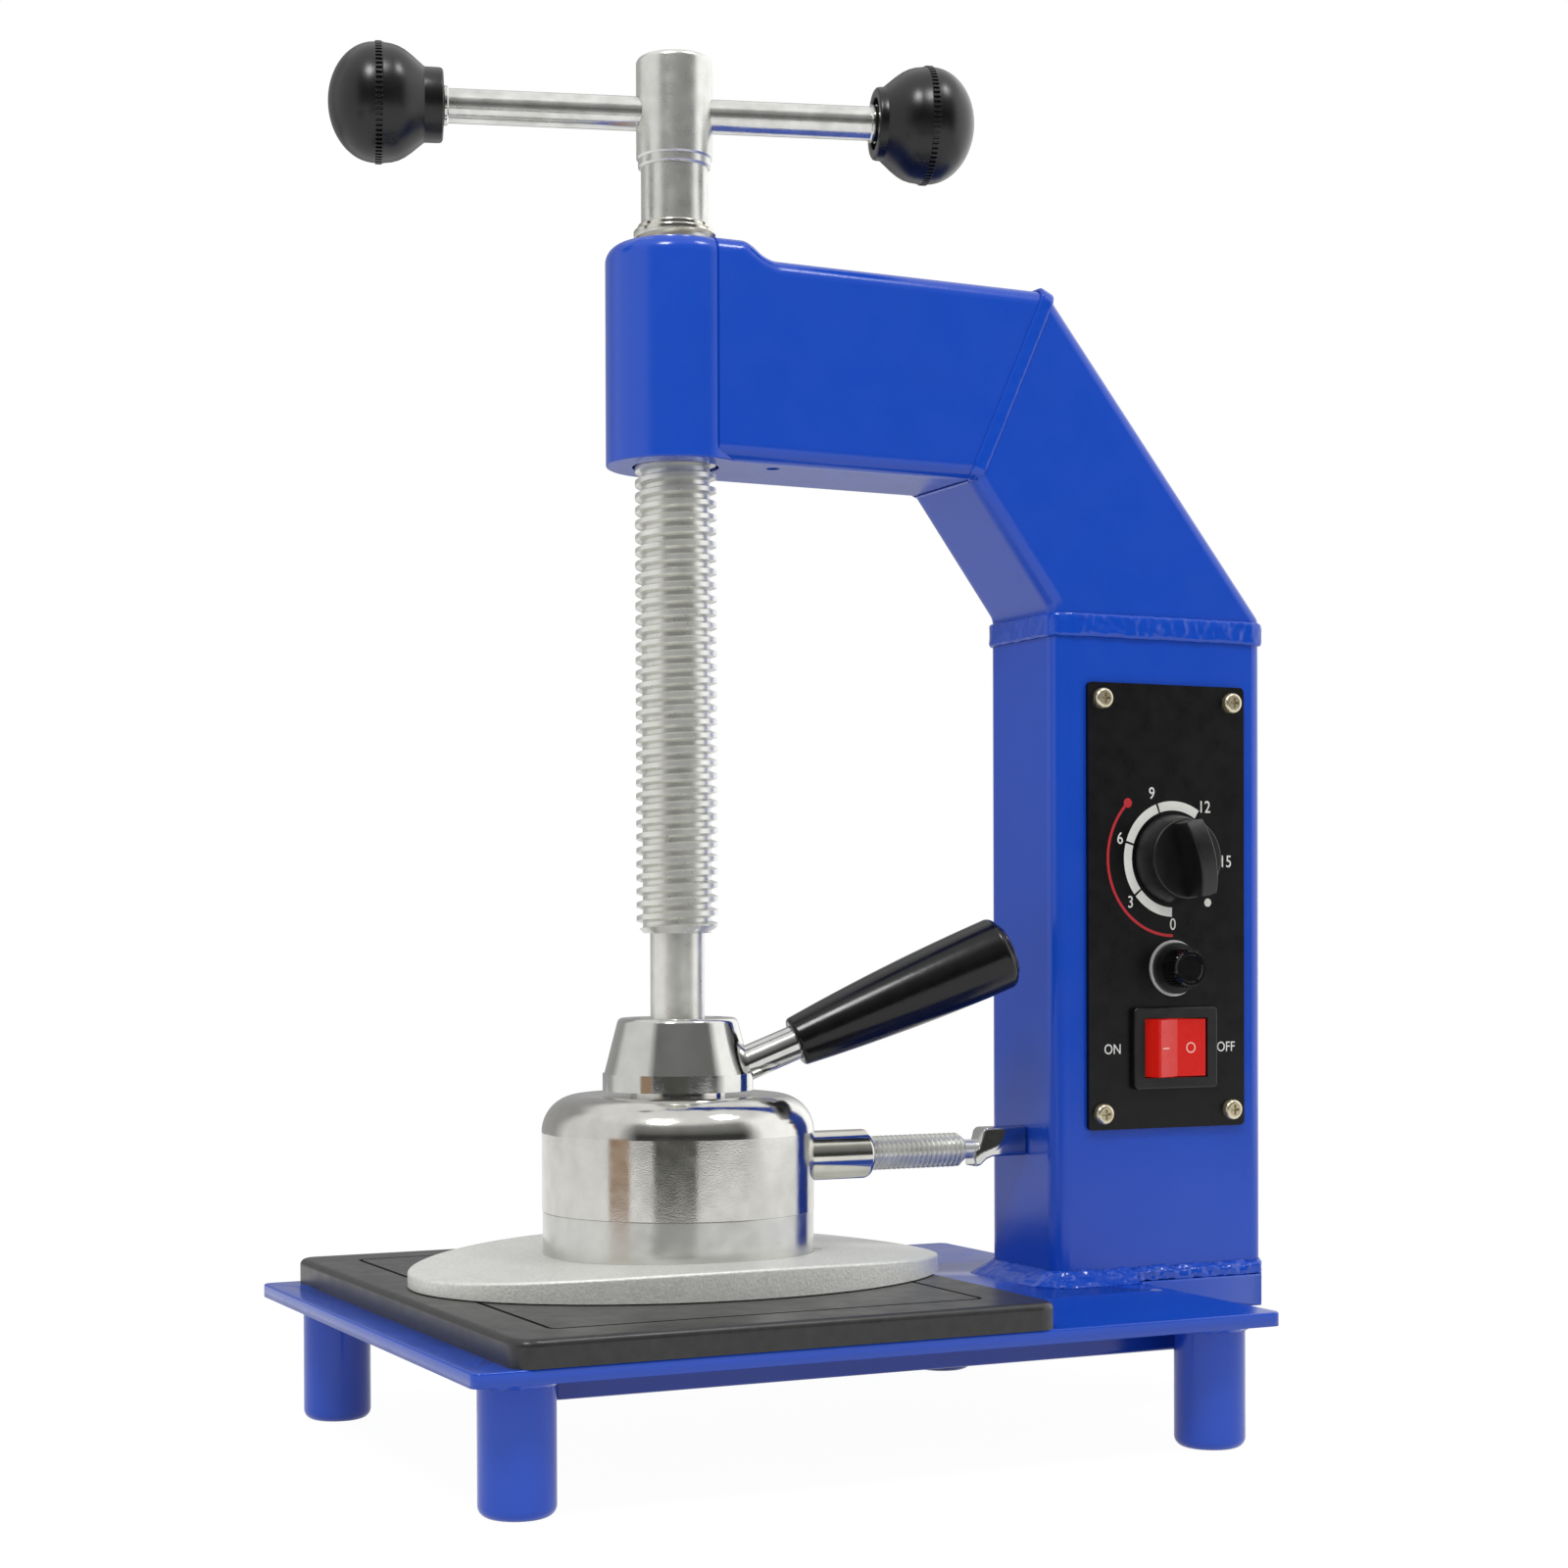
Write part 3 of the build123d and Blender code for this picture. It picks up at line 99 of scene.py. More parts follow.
def colour(name, description, code):
    """A colour property whose default is given as an sRGB hex value."""
    return FloatVectorProperty(
        name=name, description=description, default=linear(code)[:3], subtype="COLOR", min=0, max=1
    )


def linear(code):
    """Linear RGBA of an sRGB hex value."""
    channels = [int(code[i : i + 2], 16) / 255 for i in (1, 3, 5)]
    return (*(c / 12.92 if c <= 0.04045 else ((c + 0.055) / 1.055) ** 2.4 for c in channels), 1.0)


def deselect():
    """Leaves edit mode and selects nothing."""
    if bpy.context.object and bpy.context.object.mode != "OBJECT":
        bpy.ops.object.mode_set(mode="OBJECT")
    bpy.ops.object.select_all(action="DESELECT")


def pick(*pieces):
    """Selects these pieces alone, with the first one active."""
    deselect()
    for piece in pieces:
        piece.select_set(True)
    bpy.context.view_layer.objects.active = pieces[0]


def edit(piece):
    """Opens a piece in edit mode with everything in it selected."""
    pick(piece)
    bpy.ops.object.mode_set(mode="EDIT")
    bpy.ops.mesh.select_all(action="SELECT")


def apply_modifiers(piece):
    """Applies every modifier of a piece in order."""
    pick(piece)
    for modifier in list(piece.modifiers):
        bpy.ops.object.modifier_apply(modifier=modifier.name)


def close_mesh(piece):
    """Merges doubles and turns every face outwards."""
    edit(piece)
    bpy.ops.mesh.remove_doubles(threshold=WELD_DISTANCE)
    bpy.ops.mesh.normals_make_consistent(inside=False)
    bpy.ops.object.mode_set(mode="OBJECT")


def place(piece, location=(0, 0, 0), turn=(0, 0, 0)):
    """Turns and moves a piece, and leaves its object at the origin."""
    pick(piece)
    piece.rotation_mode = "XYZ"
    piece.rotation_euler = turn
    piece.location = location
    bpy.ops.object.transform_apply()


def finish_piece(piece, name, body, slot, *replaced, look=None):
    """Names and shades a piece, and ties it to its body, its slot and a look, else the slot's."""
    pick(piece)
    bpy.ops.object.transform_apply()
    bpy.ops.object.shade_smooth_by_angle(angle=SMOOTH_ANGLE)
    piece.name = name
    piece.data.name = name
    piece.data.materials.clear()
    piece.data.materials.append(materials[look or slot])
    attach(piece, body)
    if replaced:
        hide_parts(*replaced)
    return piece


def draw_outline(name, points):
    """Draws a wire outline in the XZ plane by extruding one vertex from point to point."""
    deselect()
    spots = [Vector((x, 0, z)) for x, z in points]
    bpy.ops.mesh.primitive_plane_add(size=MM, location=spots[0])
    piece = bpy.context.object
    piece.name = name
    bpy.ops.object.transform_apply()
    bpy.ops.object.mode_set(mode="EDIT")
    bpy.ops.mesh.merge(type="CENTER")
    for start, end in zip(spots, spots[1:]):
        bpy.ops.mesh.extrude_region_move(TRANSFORM_OT_translate={"value": end - start})
    bpy.ops.object.mode_set(mode="OBJECT")
    return piece


def turned(name, points, steps=96):
    """A solid turned about the Z axis from its half outline."""
    piece = draw_outline(name, points)
    edit(piece)
    bpy.ops.mesh.spin(steps=steps, angle=FULL_TURN, center=(0, 0, 0), axis=(0, 0, 1))
    close_mesh(piece)
    return piece


def boolean(piece, other, operation):
    """Cuts, adds or intersects another piece, which is used up."""
    modifier = piece.modifiers.new(operation.lower(), "BOOLEAN")
    modifier.object = other
    modifier.operation = operation
    modifier.solver = "EXACT"
    apply_modifiers(piece)
    bpy.data.objects.remove(other)
    return piece


def add_node(material, kind, inputs=None, **settings):
    """Adds a node, sets its properties, and sets or links its sockets."""
    node = material.node_tree.nodes.new(kind)
    for key, value in settings.items():
        setattr(node, key, value)
    for key, value in (inputs or {}).items():
        if isinstance(value, bpy.types.NodeSocket):
            material.node_tree.links.new(value, node.inputs[key])
        else:
            node.inputs[key].default_value = value
    return node


def new_material(name, **sockets):
    """A material with its surface shader, the shader's constants and its coordinates."""
    material = bpy.data.materials.new(name)
    material.use_nodes = True
    shader = material.node_tree.nodes["Principled BSDF"]
    for key, value in sockets.items():
        shader.inputs[key.replace("_", " ")].default_value = value
    where = add_node(material, "ShaderNodeTexCoord").outputs["Object"]
    return material, shader, where


def calculate(material, operation, first, second):
    """The result of a math node on two values."""
    inputs = {0: first, 1: second}
    return add_node(material, "ShaderNodeMath", inputs, operation=operation).outputs[0]


def rescale(material, value, start, end, bottom=0, top=1, **settings):
    """A value taken from one range to another."""
    inputs = {"Value": value, "From Min": start, "From Max": end, "To Min": bottom, "To Max": top}
    return add_node(material, "ShaderNodeMapRange", inputs, **settings).outputs["Result"]


# Places of the mix node's sockets: its share, its two numbers, its two colours, and what comes out.
MIX_SHARE = 0
MIX_NUMBERS = (2, 3)
MIX_COLOURS = (6, 7)
MIXED_NUMBER = 0
MIXED_COLOUR = 2


def blend(material, share, first, second):
    """A number between two others."""
    inputs = {MIX_SHARE: share, MIX_NUMBERS[0]: first, MIX_NUMBERS[1]: second}
    return add_node(material, "ShaderNodeMix", inputs).outputs[MIXED_NUMBER]


def noise(material, where, size, detail=2.0):
    """Noise over an object, with features of a size in metres."""
    inputs = {"Vector": where, "Scale": 1 / size, "Detail": detail}
    return add_node(material, "ShaderNodeTexNoise", inputs).outputs["Fac"]


MOTTLE_LIMITS = (0.25, 0.75)
UNEVEN_LIMITS = (0.3, 0.7)
UNEVEN_DETAIL = 3.0


def mottle(material, where, size, dark, pale):
    """A colour that wanders between two values over a feature size."""
    share = rescale(material, noise(material, where, size), *MOTTLE_LIMITS)
    inputs = {MIX_SHARE: share, MIX_COLOURS[0]: dark, MIX_COLOURS[1]: pale}
    mix = add_node(material, "ShaderNodeMix", inputs, data_type="RGBA")
    return mix.outputs[MIXED_COLOUR]


def uneven(material, where, size, smooth, rough):
    """A roughness that varies between two values over a feature size."""
    patches = noise(material, where, size, UNEVEN_DETAIL)
    return rescale(material, patches, *UNEVEN_LIMITS, smooth, rough)


def grain(material, where, size, height):
    """A surface normal with bumps of a feature size and height."""
    inputs = {"Height": noise(material, where, size), "Distance": height}
    return add_node(material, "ShaderNodeBump", inputs).outputs["Normal"]


def finish(name, tint, gloss, bumps, **sockets):
    """Mottled colour, uneven gloss and fine bumps, each with its size in millimetres."""
    material, shader, where = new_material(name, **sockets)
    tint_size, dark, pale = tint
    gloss_size, smooth, rough = gloss
    bump_size, height = bumps
    links = {
        "Base Color": mottle(material, where, tint_size * MM, dark, pale),
        "Roughness": uneven(material, where, gloss_size * MM, smooth, rough),
        "Normal": grain(material, where, bump_size * MM, height * MM),
    }
    for key, value in links.items():
        material.node_tree.links.new(value, shader.inputs[key])
    return material


PALE_SHARE = 1.05
ENAMEL_GLOSS = 0.16
WELD_GLOSS = 0.06
GLOSS_SPREAD = 0.06


def gloss_enamel(name, base, smooth=ENAMEL_GLOSS):
    """Sprayed and stoved gloss enamel on steel."""
    # Orange peel softens the edges of what the paint mirrors, and its colour is all but even.
    pale = [min(1, channel * PALE_SHARE) for channel in base]
    tint = (30, (*base, 1), (*pale, 1))
    return finish(name, tint, (12, smooth, smooth + GLOSS_SPREAD), (2.2, 0.02), IOR=1.5)


def coated_plate(name):
    """Heater plate with a thin black release coating."""
    # Satin and slightly pebbled, so that it greys evenly under the light.
    tint = (3, linear("#262626"), linear("#303030"))
    return finish(name, tint, (8, 0.28, 0.36), (0.7, 0.02), IOR=1.5)


def blasted_casting(name):
    """Shot-blasted aluminium casting."""
    # Finely pitted, so that it looks matt and sandy and mirrors nothing.
    tint = (0.9, linear("#DADBD6"), linear("#F0F1EC"))
    return finish(name, tint, (4, 0.5, 0.62), (0.8, 0.12), Metallic=0.6)


def red_lens_painted_glow(name):
    """A translucent red lens with a painted glow."""
    # Painted light: an emission glow lifts the shaded side and keeps the red clear.
    tint = (2, linear("#8E1009"), linear("#98130B"))
    glow = {"Emission_Color": linear("#E4221A"), "Emission_Strength": 0.42}
    return finish(name, tint, (3, 0.22, 0.3), (0.4, 0.02), IOR=1.5, Specular_IOR_Level=0.3, **glow)


def metal(name, dark, pale, smooth, rough, size, height, share=1):
    """A bare or plated metal with a fine grain; a dull plating has a lower metal share."""
    tint = (6, linear(dark), linear(pale))
    return finish(name, tint, (5, smooth, rough), (size, height), Metallic=share)


def moulding(name, dark, pale, smooth, rough, shine=0.5, size=0.5, height=0.01):
    """A moulded plastic with a fine eroded texture; a flat ink or coat has less shine."""
    sockets = {"IOR": 1.5, "Specular_IOR_Level": shine}
    tint = (5, linear(dark), linear(pale))
    return finish(name, tint, (5, smooth, rough), (size, height), **sockets)


# Name, darker and paler colour, smoothest and roughest spot, size and height of the grain in
# millimetres, and how metallic it is.
METALS = {
    # Crinkled foil, which breaks the light into soft patches.
    "heater_foil": ("aluminium_foil", "#B9BABA", "#D9DADA", 0.3, 0.4, 2, 0.1),
    # Bright zinc, pale and a little milky, with soft highlights.
    "zinc_steel": ("bright_zinc_plating", "#DADAD4", "#EAEAE4", 0.26, 0.36, 0.5, 0.012, 0.7),
    # Passivated zinc, which adds a straw tint to a soft shine.
    "yellow_zinc": ("yellow_passivated_zinc", "#D2C6A4", "#ECE2C6", 0.2, 0.3, 0.5, 0.01, 0.85),
    # Turned bronze, brown and warm.
    "bronze": ("turned_bronze", "#A6763E", "#BF8F50", 0.28, 0.36, 0.5, 0.01),
    # Polished steel under plating, with sharp dark and light streaks.
    "bright_steel": ("polished_plated_steel", "#C9C9C6", "#DCDCD9", 0.08, 0.14, 0.6, 0.006),
    # Satin nickel, which blurs what it mirrors into broad bands.
    "satin_nickel": ("satin_nickel_plating", "#D2D2CD", "#E2E2DE", 0.24, 0.32, 0.35, 0.02, 0.85),
    # Turned aluminium, cooler and softer than chrome.
    "turned_aluminium": ("turned_aluminium", "#C4C4C0", "#D0D0CC", 0.16, 0.22, 0.4, 0.004),
    # Chrome, nearly a mirror of the room.
    "chrome": ("chrome_plating", "#C6C6C2", "#D2D2CE", 0.07, 0.12, 0.5, 0.008),
    # Satin chrome, a mirror with slightly ragged edges.
    "satin_chrome": ("satin_chrome_plating", "#C8C7C2", "#D6D5D0", 0.08, 0.16, 0.4, 0.014),
    # Plating over a rolled bar, speckled where the bar is pitted.
    "speckled_plating": ("speckled_plating", "#CECEC9", "#EAEAE6", 0.14, 0.24, 0.5, 0.03, 0.9),
    # Polished nickel, a warm mirror.
    "polished_nickel": ("polished_nickel_plating", "#D0CEC4", "#DEDCD2", 0.1, 0.15, 0.6, 0.004),
    # A stamped washer, grey and without shine.
    "dull_washer": ("dull_zinc_washer", "#C0C0C0", "#D0D0D0", 0.4, 0.5, 0.5, 0.01, 0.3),
}
# Name, darker and paler colour, smoothest and roughest spot, shine, and size and height of the
# grain in millimetres.
MOULDINGS = {
    # Pressed board, chalky and matt.
    "insulating_board": ("insulating_board", "#CFCBBE", "#E0DCCF", 0.8, 0.9),
    # Nylon with an eroded skin, a soft grey sheen over black.
    "black_moulding": ("black_nylon", "#0B0B0C", "#121214", 0.32, 0.42),
    # Sheet with a smooth coat, deep black until the light meets it flat.
    "black_panel": ("black_coated_sheet", "#08080A", "#0C0C0F", 0.26, 0.32, 0.35),
    # Drawn glass, smooth and slightly green.
    "fuse_glass": ("fuse_glass", "#C8D4D4", "#D8E2E2", 0.05, 0.08),
    # Phenolic ball, with one round highlight that has soft edges.
    "black_ball": ("black_phenolic_ball", "#0B0B0C", "#101012", 0.26, 0.32),
    # Phenolic grip, polished, with long thin highlights.
    "black_grip": ("black_phenolic_grip", "#0A0A0B", "#0F0F11", 0.17, 0.22, 0.4, 1.5, 0.006),
    # Gloss cap, black with small sharp highlights.
    "glossy_cap": ("black_gloss_cap", "#0A0A0B", "#101012", 0.1, 0.14),
    # Screen inks, flat and even.
    "white_ink": ("white_screen_ink", "#D8D8D2", "#E2E2DC", 0.5, 0.6),
    "red_ink": ("red_screen_ink", "#B01622", "#BE1C28", 0.45, 0.55),
    # Paint wiped into the moulded marks, pale pink on the red.
    "pale_mark": ("pale_filled_mark", "#F0B8A8", "#F4C4B6", 0.4, 0.5),
}


class FinishColours(bpy.types.PropertyGroup):
    """The colours of the enamel."""

    enamel: colour("Enamel", "Enamel of the frame and its welds", "#1247B8")
    tray: colour("Tray", "Enamel of the tray under the base", "#0E3796")


def make_materials(colours):
    """Every finish of the machine by its record slot."""
    made = {slot: metal(*row) for slot, row in METALS.items()}
    made.update({slot: moulding(*row) for slot, row in MOULDINGS.items()})
    made["blue_enamel"] = gloss_enamel("stoved_blue_enamel", colours.enamel)
    made["blue_tray"] = gloss_enamel("stoved_blue_enamel_tray", colours.tray)
    made["weld_enamel"] = gloss_enamel("stoved_enamel_on_weld", colours.enamel, WELD_GLOSS)
    made["black_platen"] = coated_plate("black_release_coating")
    # The rocker's lens glows as painted light that lifts its shaded side.
    made["red_rocker"] = red_lens_painted_glow("red_polycarbonate_painted_glow")
    made["cast_aluminium"] = blasted_casting("blasted_aluminium_casting")
    return made


# CAD nodes whose finish differs from that of their slot.
NODE_FINISHES = {
    "head_cap": "satin_chrome",
    "neck_sleeve": "satin_nickel",
    "cross_bar": "speckled_plating",
    "guide_ferrule": "polished_nickel",
    "fuse_washer": "dull_washer",
    "top_washers": "polished_nickel",
}


def dress_nodes():
    """Gives every CAD node the finish of its material slot, or a variant of it."""
    for part in frame["record"]["subparts"]:
        node = frame["nodes"][part["node"]]
        node.data.materials.clear()
        finish_name = NODE_FINISHES.get(part["node"], part["material_slot"])
        node.data.materials.append(materials[finish_name])


class ThreadSizes(bpy.types.PropertyGroup):
    """The spindle's trapezoidal thread and the guide stud's thread."""

    pitch: length("Pitch", "Distance between the spindle's turns", 4 * MM)
    depth: length("Depth", "Depth of the spindle's thread", 1.9 * MM)
    shank_exposed: length("Shank", "Bare shank between the cone and the thread", 24.9 * MM)
    shank_diameter: length("Shank diameter", "Diameter of the bare shank", 16 * MM)
    seat_diameter: length("Seat diameter", "Diameter inside the thrust collar", 12 * MM)
    tip_diameter: length("Tip diameter", "Diameter of the spindle's tip", 14 * MM)
    chamfer: length("Chamfer", "Chamfer at the thread's lower end", 2.2 * MM)
    stud_pitch: length("Stud pitch", "Distance between the stud's turns", 1.7 * MM)
    stud_depth: length("Stud depth", "Depth of the stud's thread", 1 * MM)
    stud_neck: length("Stud neck", "Diameter of the stud's neck", 6 * MM)
    stud_reach: length("Stud reach", "Threaded length beyond the ferrule", 33 * MM)


# Shares of the pitch that are flat at a thread's crest and at its root.
SPINDLE_FLATS = (0.34, 0.28)
STUD_FLATS = (0.2, 0.2)
# Shares of a thread's depth and of its flank that its worn corners take up.
CORNER_DEPTH = 0.12
ROOT_CORNER = 0.2
CREST_CORNER = 0.15
# How far a thread's core lies under its root, and how far solids that are joined overlap.
SPINDLE_CORE_INSET = 0.5 * MM
STUD_CORE_INSET = 0.4 * MM
OVERLAP = 0.1 * MM
# Length of the stud's end taper, and how much it takes off the radius.
STUD_TAPER = (3 * MM, 1.6 * MM)


def helical_thread(name, radius, depth, pitch, bottom, top, flats, steps=48):
    """A screw thread about the Z axis, cut square at both ends."""
    crest, root = flats
    flank = (1 - crest - root) / 2
    inner = radius - depth
    round_in = depth * CORNER_DEPTH
    shares = [
        (inner, 0),
        (inner, root),
        (inner + round_in, root + flank * ROOT_CORNER),
        (radius - round_in, root + flank * (1 - CREST_CORNER)),
        (radius, root + flank),
        (radius, root + flank + crest),
        (radius - round_in, root + flank * (1 + CREST_CORNER) + crest),
        (inner + round_in, 1 - flank * ROOT_CORNER),
        (inner, 1),
    ]
    turns = math.ceil((top - bottom) / pitch) + 3
    start = bottom - 2 * pitch
    piece = draw_outline(name, [(r, start + share * pitch) for r, share in shares])
    screw = piece.modifiers.new("turns", "SCREW")
    screw.axis = "Z"
    screw.angle = FULL_TURN
    screw.screw_offset = pitch
    screw.iterations = turns
    screw.steps = steps
    screw.render_steps = steps
    screw.use_merge_vertices = True
    screw.merge_threshold = WELD_DISTANCE
    apply_modifiers(piece)
    for height, outer in ((bottom, False), (top, True)):
        edit(piece)
        bpy.ops.mesh.bisect(
            plane_co=(0, 0, height),
            plane_no=(0, 0, 1),
            use_fill=True,
            clear_inner=not outer,
            clear_outer=outer,
        )
    close_mesh(piece)
    return piece


class VULCANIZER_OT_spindle(bpy.types.Operator):
    """Add the threaded spindle in place of its plain solid"""

    bl_idname = "vulcanizer.spindle"
    bl_label = "Add Spindle"

    def execute(self, context):
        sizes = context.scene.vulcanizer_thread
        bottom = high("cone_hub").z + sizes.shank_exposed
        top = low("top_washers").z
        radius = (high("lead_screw").x - low("lead_screw").x) / 2
        thread = helical_thread(
            "thread", radius, sizes.depth, sizes.pitch, bottom, top, SPINDLE_FLATS
        )
        blank = turned(
            "blank",
            [
                (0, bottom),
                (radius - sizes.chamfer, bottom),
                (radius + MM, bottom + sizes.chamfer + MM),
                (radius + MM, top),
                (0, top),
            ],
        )
        boolean(thread, blank, "INTERSECT")
        foot = low("lead_screw").z
        tip = high("lead_screw").z
        seat = high("thrust_collar").z
        core = radius - sizes.depth - SPINDLE_CORE_INSET
        shaft = turned(
            "shaft",
            [
                (0, foot),
                (sizes.seat_diameter / 2, foot),
                (sizes.seat_diameter / 2, seat),
                (sizes.shank_diameter / 2, seat),
                (sizes.shank_diameter / 2, bottom + OVERLAP),
                (core, bottom + OVERLAP),
                (core, top - MM),
                (sizes.tip_diameter / 2, top - MM),
                (sizes.tip_diameter / 2, tip),
                (0, tip),
            ],
        )
        boolean(thread, shaft, "UNION")
        axis = middle("lead_screw")
        place(thread, (axis.x, axis.y, 0))
        finish_piece(thread, "spindle_thread", "spindle", "zinc_steel", "lead_screw")
        return {"FINISHED"}


class VULCANIZER_OT_guide_stud(bpy.types.Operator):
    """Add the guide's threaded stud in place of its plain solid"""

    bl_idname = "vulcanizer.guide_stud"
    bl_label = "Add Guide Stud"

    def execute(self, context):
        sizes = context.scene.vulcanizer_thread
        start = low("guide_stud")
        end = high("guide_stud")
        radius = (end.z - start.z) / 2
        threaded_end = high("guide_ferrule").x + sizes.stud_reach
        run = threaded_end - start.x
        thread = helical_thread(
            "stud", radius, sizes.stud_depth, sizes.stud_pitch, 0, run, STUD_FLATS, steps=32
        )
        taper, drop = STUD_TAPER
        outer = radius + MM
        outline = [(0, 0), (outer, 0), (outer, run - taper), (radius - drop, run), (0, run)]
        blank = turned("blank", outline, steps=48)
        boolean(thread, blank, "INTERSECT")
        neck = sizes.stud_neck / 2
        inner = radius - sizes.stud_depth - STUD_CORE_INSET
        total = end.x - start.x
        step = run - OVERLAP
        outline = [(0, OVERLAP), (inner, OVERLAP), (inner, step), (neck, step)]
        shaft = turned("shaft", outline + [(neck, total), (0, total)], steps=48)
        boolean(thread, shaft, "UNION")
        axis = middle("guide_stud")
        place(thread, (start.x, axis.y, axis.z), (0, QUARTER, 0))
        finish_piece(
            thread, "guide_thread", "press_head", "bright_steel", "guide_stud", look="zinc_steel"
        )
        return {"FINISHED"}


class PrintSizes(bpy.types.PropertyGroup):
    """The print on the control panel and the switch."""

    rise: length("Rise", "Thickness of the ink", 0.08 * MM)
    band_inner: length("Band inner", "Inner radius of the minute band", 15.2 * MM)
    band_outer: length("Band outer", "Outer radius of the minute band", 18.1 * MM)
    band_gap: angle("Band gap", "Gap in the band at each number", 2.4)
    arc_radius: length("Arc radius", "Radius of the red arc's middle", 24 * MM)
    arc_width: length("Arc width", "Width of the red arc", 0.9 * MM)
    arc_end: angle("Arc end", "Where the red arc ends in its dot", 134)
    arc_dot: length("Arc dot", "Diameter of the red dot", 3 * MM)
    white_dot: length("White dot", "Diameter of the white dot", 2.6 * MM)
    number_height: length("Number height", "Height of the dial's numbers", 3.7 * MM)
    switch_height: length("Switch height", "Height of the words beside the switch", 3.1 * MM)
    switch_side: length("Switch side", "Middle of those words from the switch's middle", 20.4 * MM)
    mark_height: length("Mark height", "Height of the ring on the rocker", 3.4 * MM)


# Text, angle in degrees and reach in millimetres of each number.
DIAL_NUMBERS = (
    ("0", -90, 20.4),
    ("3", 220.5, 20.7),
    ("6", 162, 20.5),
    ("9", 110.8, 21.9),
    ("12", 53.3, 20.6),
    ("15", -1.7, 20.3),
)
# Where the minute band is interrupted, in degrees.
BAND_STOPS = (270, 219, 163.4, 109, 56)
# Angle in degrees and reach in millimetres.
WHITE_DOT = (-46, 18.95)
# Each word, and its place as a share of the words' distance from the switch.
SWITCH_WORDS = (("ON", -1.1), ("OFF", 0.98))
LETTER_SQUEEZE = 0.9
LETTER_WEIGHT = 0.002


def polar(radius, degrees):
    """A point of the panel's plane about the timer's shaft."""
    turn = math.radians(degrees)
    return Vector((radius * math.cos(turn), 0, radius * math.sin(turn)))


def band(inner, outer, rise, start, sweep):
    """A flat band facing -Y, from a start angle clockwise over a sweep, in degrees."""
    half = rise / 2
    corners = [(inner, -half), (outer, -half), (outer, half), (inner, half), (inner, -half)]
    piece = draw_outline("band", corners)
    edit(piece)
    bpy.ops.mesh.remove_doubles(threshold=rise / 10)
    bpy.ops.mesh.edge_face_add()
    bpy.ops.mesh.select_all(action="SELECT")
    steps = max(8, round(sweep / 2))
    bpy.ops.mesh.spin(steps=steps, angle=math.radians(sweep), center=(0, 0, 0), axis=(0, 0, 1))
    place(piece, turn=(0, 0, math.radians(start)))
    place(piece, turn=(QUARTER, 0, 0))
    close_mesh(piece)
    return piece


def dot(radius, rise, spot):
    """A round printed dot facing -Y."""
    half = rise / 2
    piece = turned("dot", [(0, -half), (radius, -half), (radius, half), (0, half)], steps=32)
    place(piece, spot, (QUARTER, 0, 0))
    return piece


def lettering(text, height, rise, spot):
    """Flat generic characters facing -Y with their middle on a spot."""
    deselect()
    bpy.ops.object.text_add(location=(0, 0, 0))
    piece = bpy.context.object
    piece.data.body = text
    piece.data.extrude = 0.5
    piece.data.offset = LETTER_WEIGHT
    piece.data.resolution_u = 6
    bpy.ops.object.convert(target="MESH")
    piece = bpy.context.object
    bpy.ops.object.origin_set(type="ORIGIN_GEOMETRY", center="BOUNDS")
    grow = height / piece.dimensions.y
    piece.scale = (grow * LETTER_SQUEEZE, grow, rise)
    place(piece, spot, (QUARTER, 0, 0))
    return piece


def join(pieces):
    """Joins pieces into the first one."""
    pick(*pieces)
    bpy.ops.object.join()
    return pieces[0]


class VULCANIZER_OT_panel_print(bpy.types.Operator):
    """Add the dial's numbers, bands and dots and the switch's marks"""

    bl_idname = "vulcanizer.panel_print"
    bl_label = "Add Panel Print"

    def execute(self, context):
        sizes = context.scene.vulcanizer_print
        gap = math.degrees(sizes.band_gap)
        face = low("control_panel").y
        white = [
            band(sizes.band_inner, sizes.band_outer, sizes.rise, start - gap / 2, start - end - gap)
            for start, end in zip(BAND_STOPS, BAND_STOPS[1:])
        ]
        for text, turn, reach in DIAL_NUMBERS:
            white.append(lettering(text, sizes.number_height, sizes.rise, polar(reach * MM, turn)))
        white.append(dot(sizes.white_dot / 2, sizes.rise, polar(WHITE_DOT[1] * MM, WHITE_DOT[0])))
        dial = join(white)
        shaft = middle("timer_shaft")
        place(dial, (shaft.x, face, shaft.z))
        finish_piece(dial, "dial_print", "frame", "black_panel", look="white_ink")

        inner = sizes.arc_radius - sizes.arc_width / 2
        end = math.degrees(sizes.arc_end)
        red = join(
            [
                band(inner, inner + sizes.arc_width, sizes.rise, 270, 270 - end),
                dot(sizes.arc_dot / 2, 2 * sizes.rise, polar(sizes.arc_radius, end)),
            ]
        )
        place(red, (shaft.x, face, shaft.z))
        finish_piece(red, "dial_arc", "frame", "black_panel", look="red_ink")

        switch = middle("switch_housing")
        words = []
        for text, share in SWITCH_WORDS:
            spot = Vector((sizes.switch_side * share, 0, 0))
            words.append(lettering(text, sizes.switch_height, sizes.rise, spot))
        words = join(words)
        place(words, (switch.x, face, switch.z))
        finish_piece(words, "switch_print", "frame", "black_panel", look="white_ink")
        return {"FINISHED"}


class KnobSizes(bpy.types.PropertyGroup):
    """The two ball knobs on the cross bar, measured from the seam's plane."""

    radius: length("Radius", "Radius at the seam", 16.8 * MM)
    dome_depth: length("Dome depth", "Depth of the outer half", 14.4 * MM)
    seam_width: length("Seam width", "Width of the ribbed seam", 1.9 * MM)
    seam_rise: length("Seam rise", "How far the ribs stand out", 0.35 * MM)
    rib_count: IntProperty(name="Ribs", description="Ribs round the seam", default=72, min=12)
    right_inset: length("Right inset", "How much further the right knob is screwed on", 3.0 * MM)


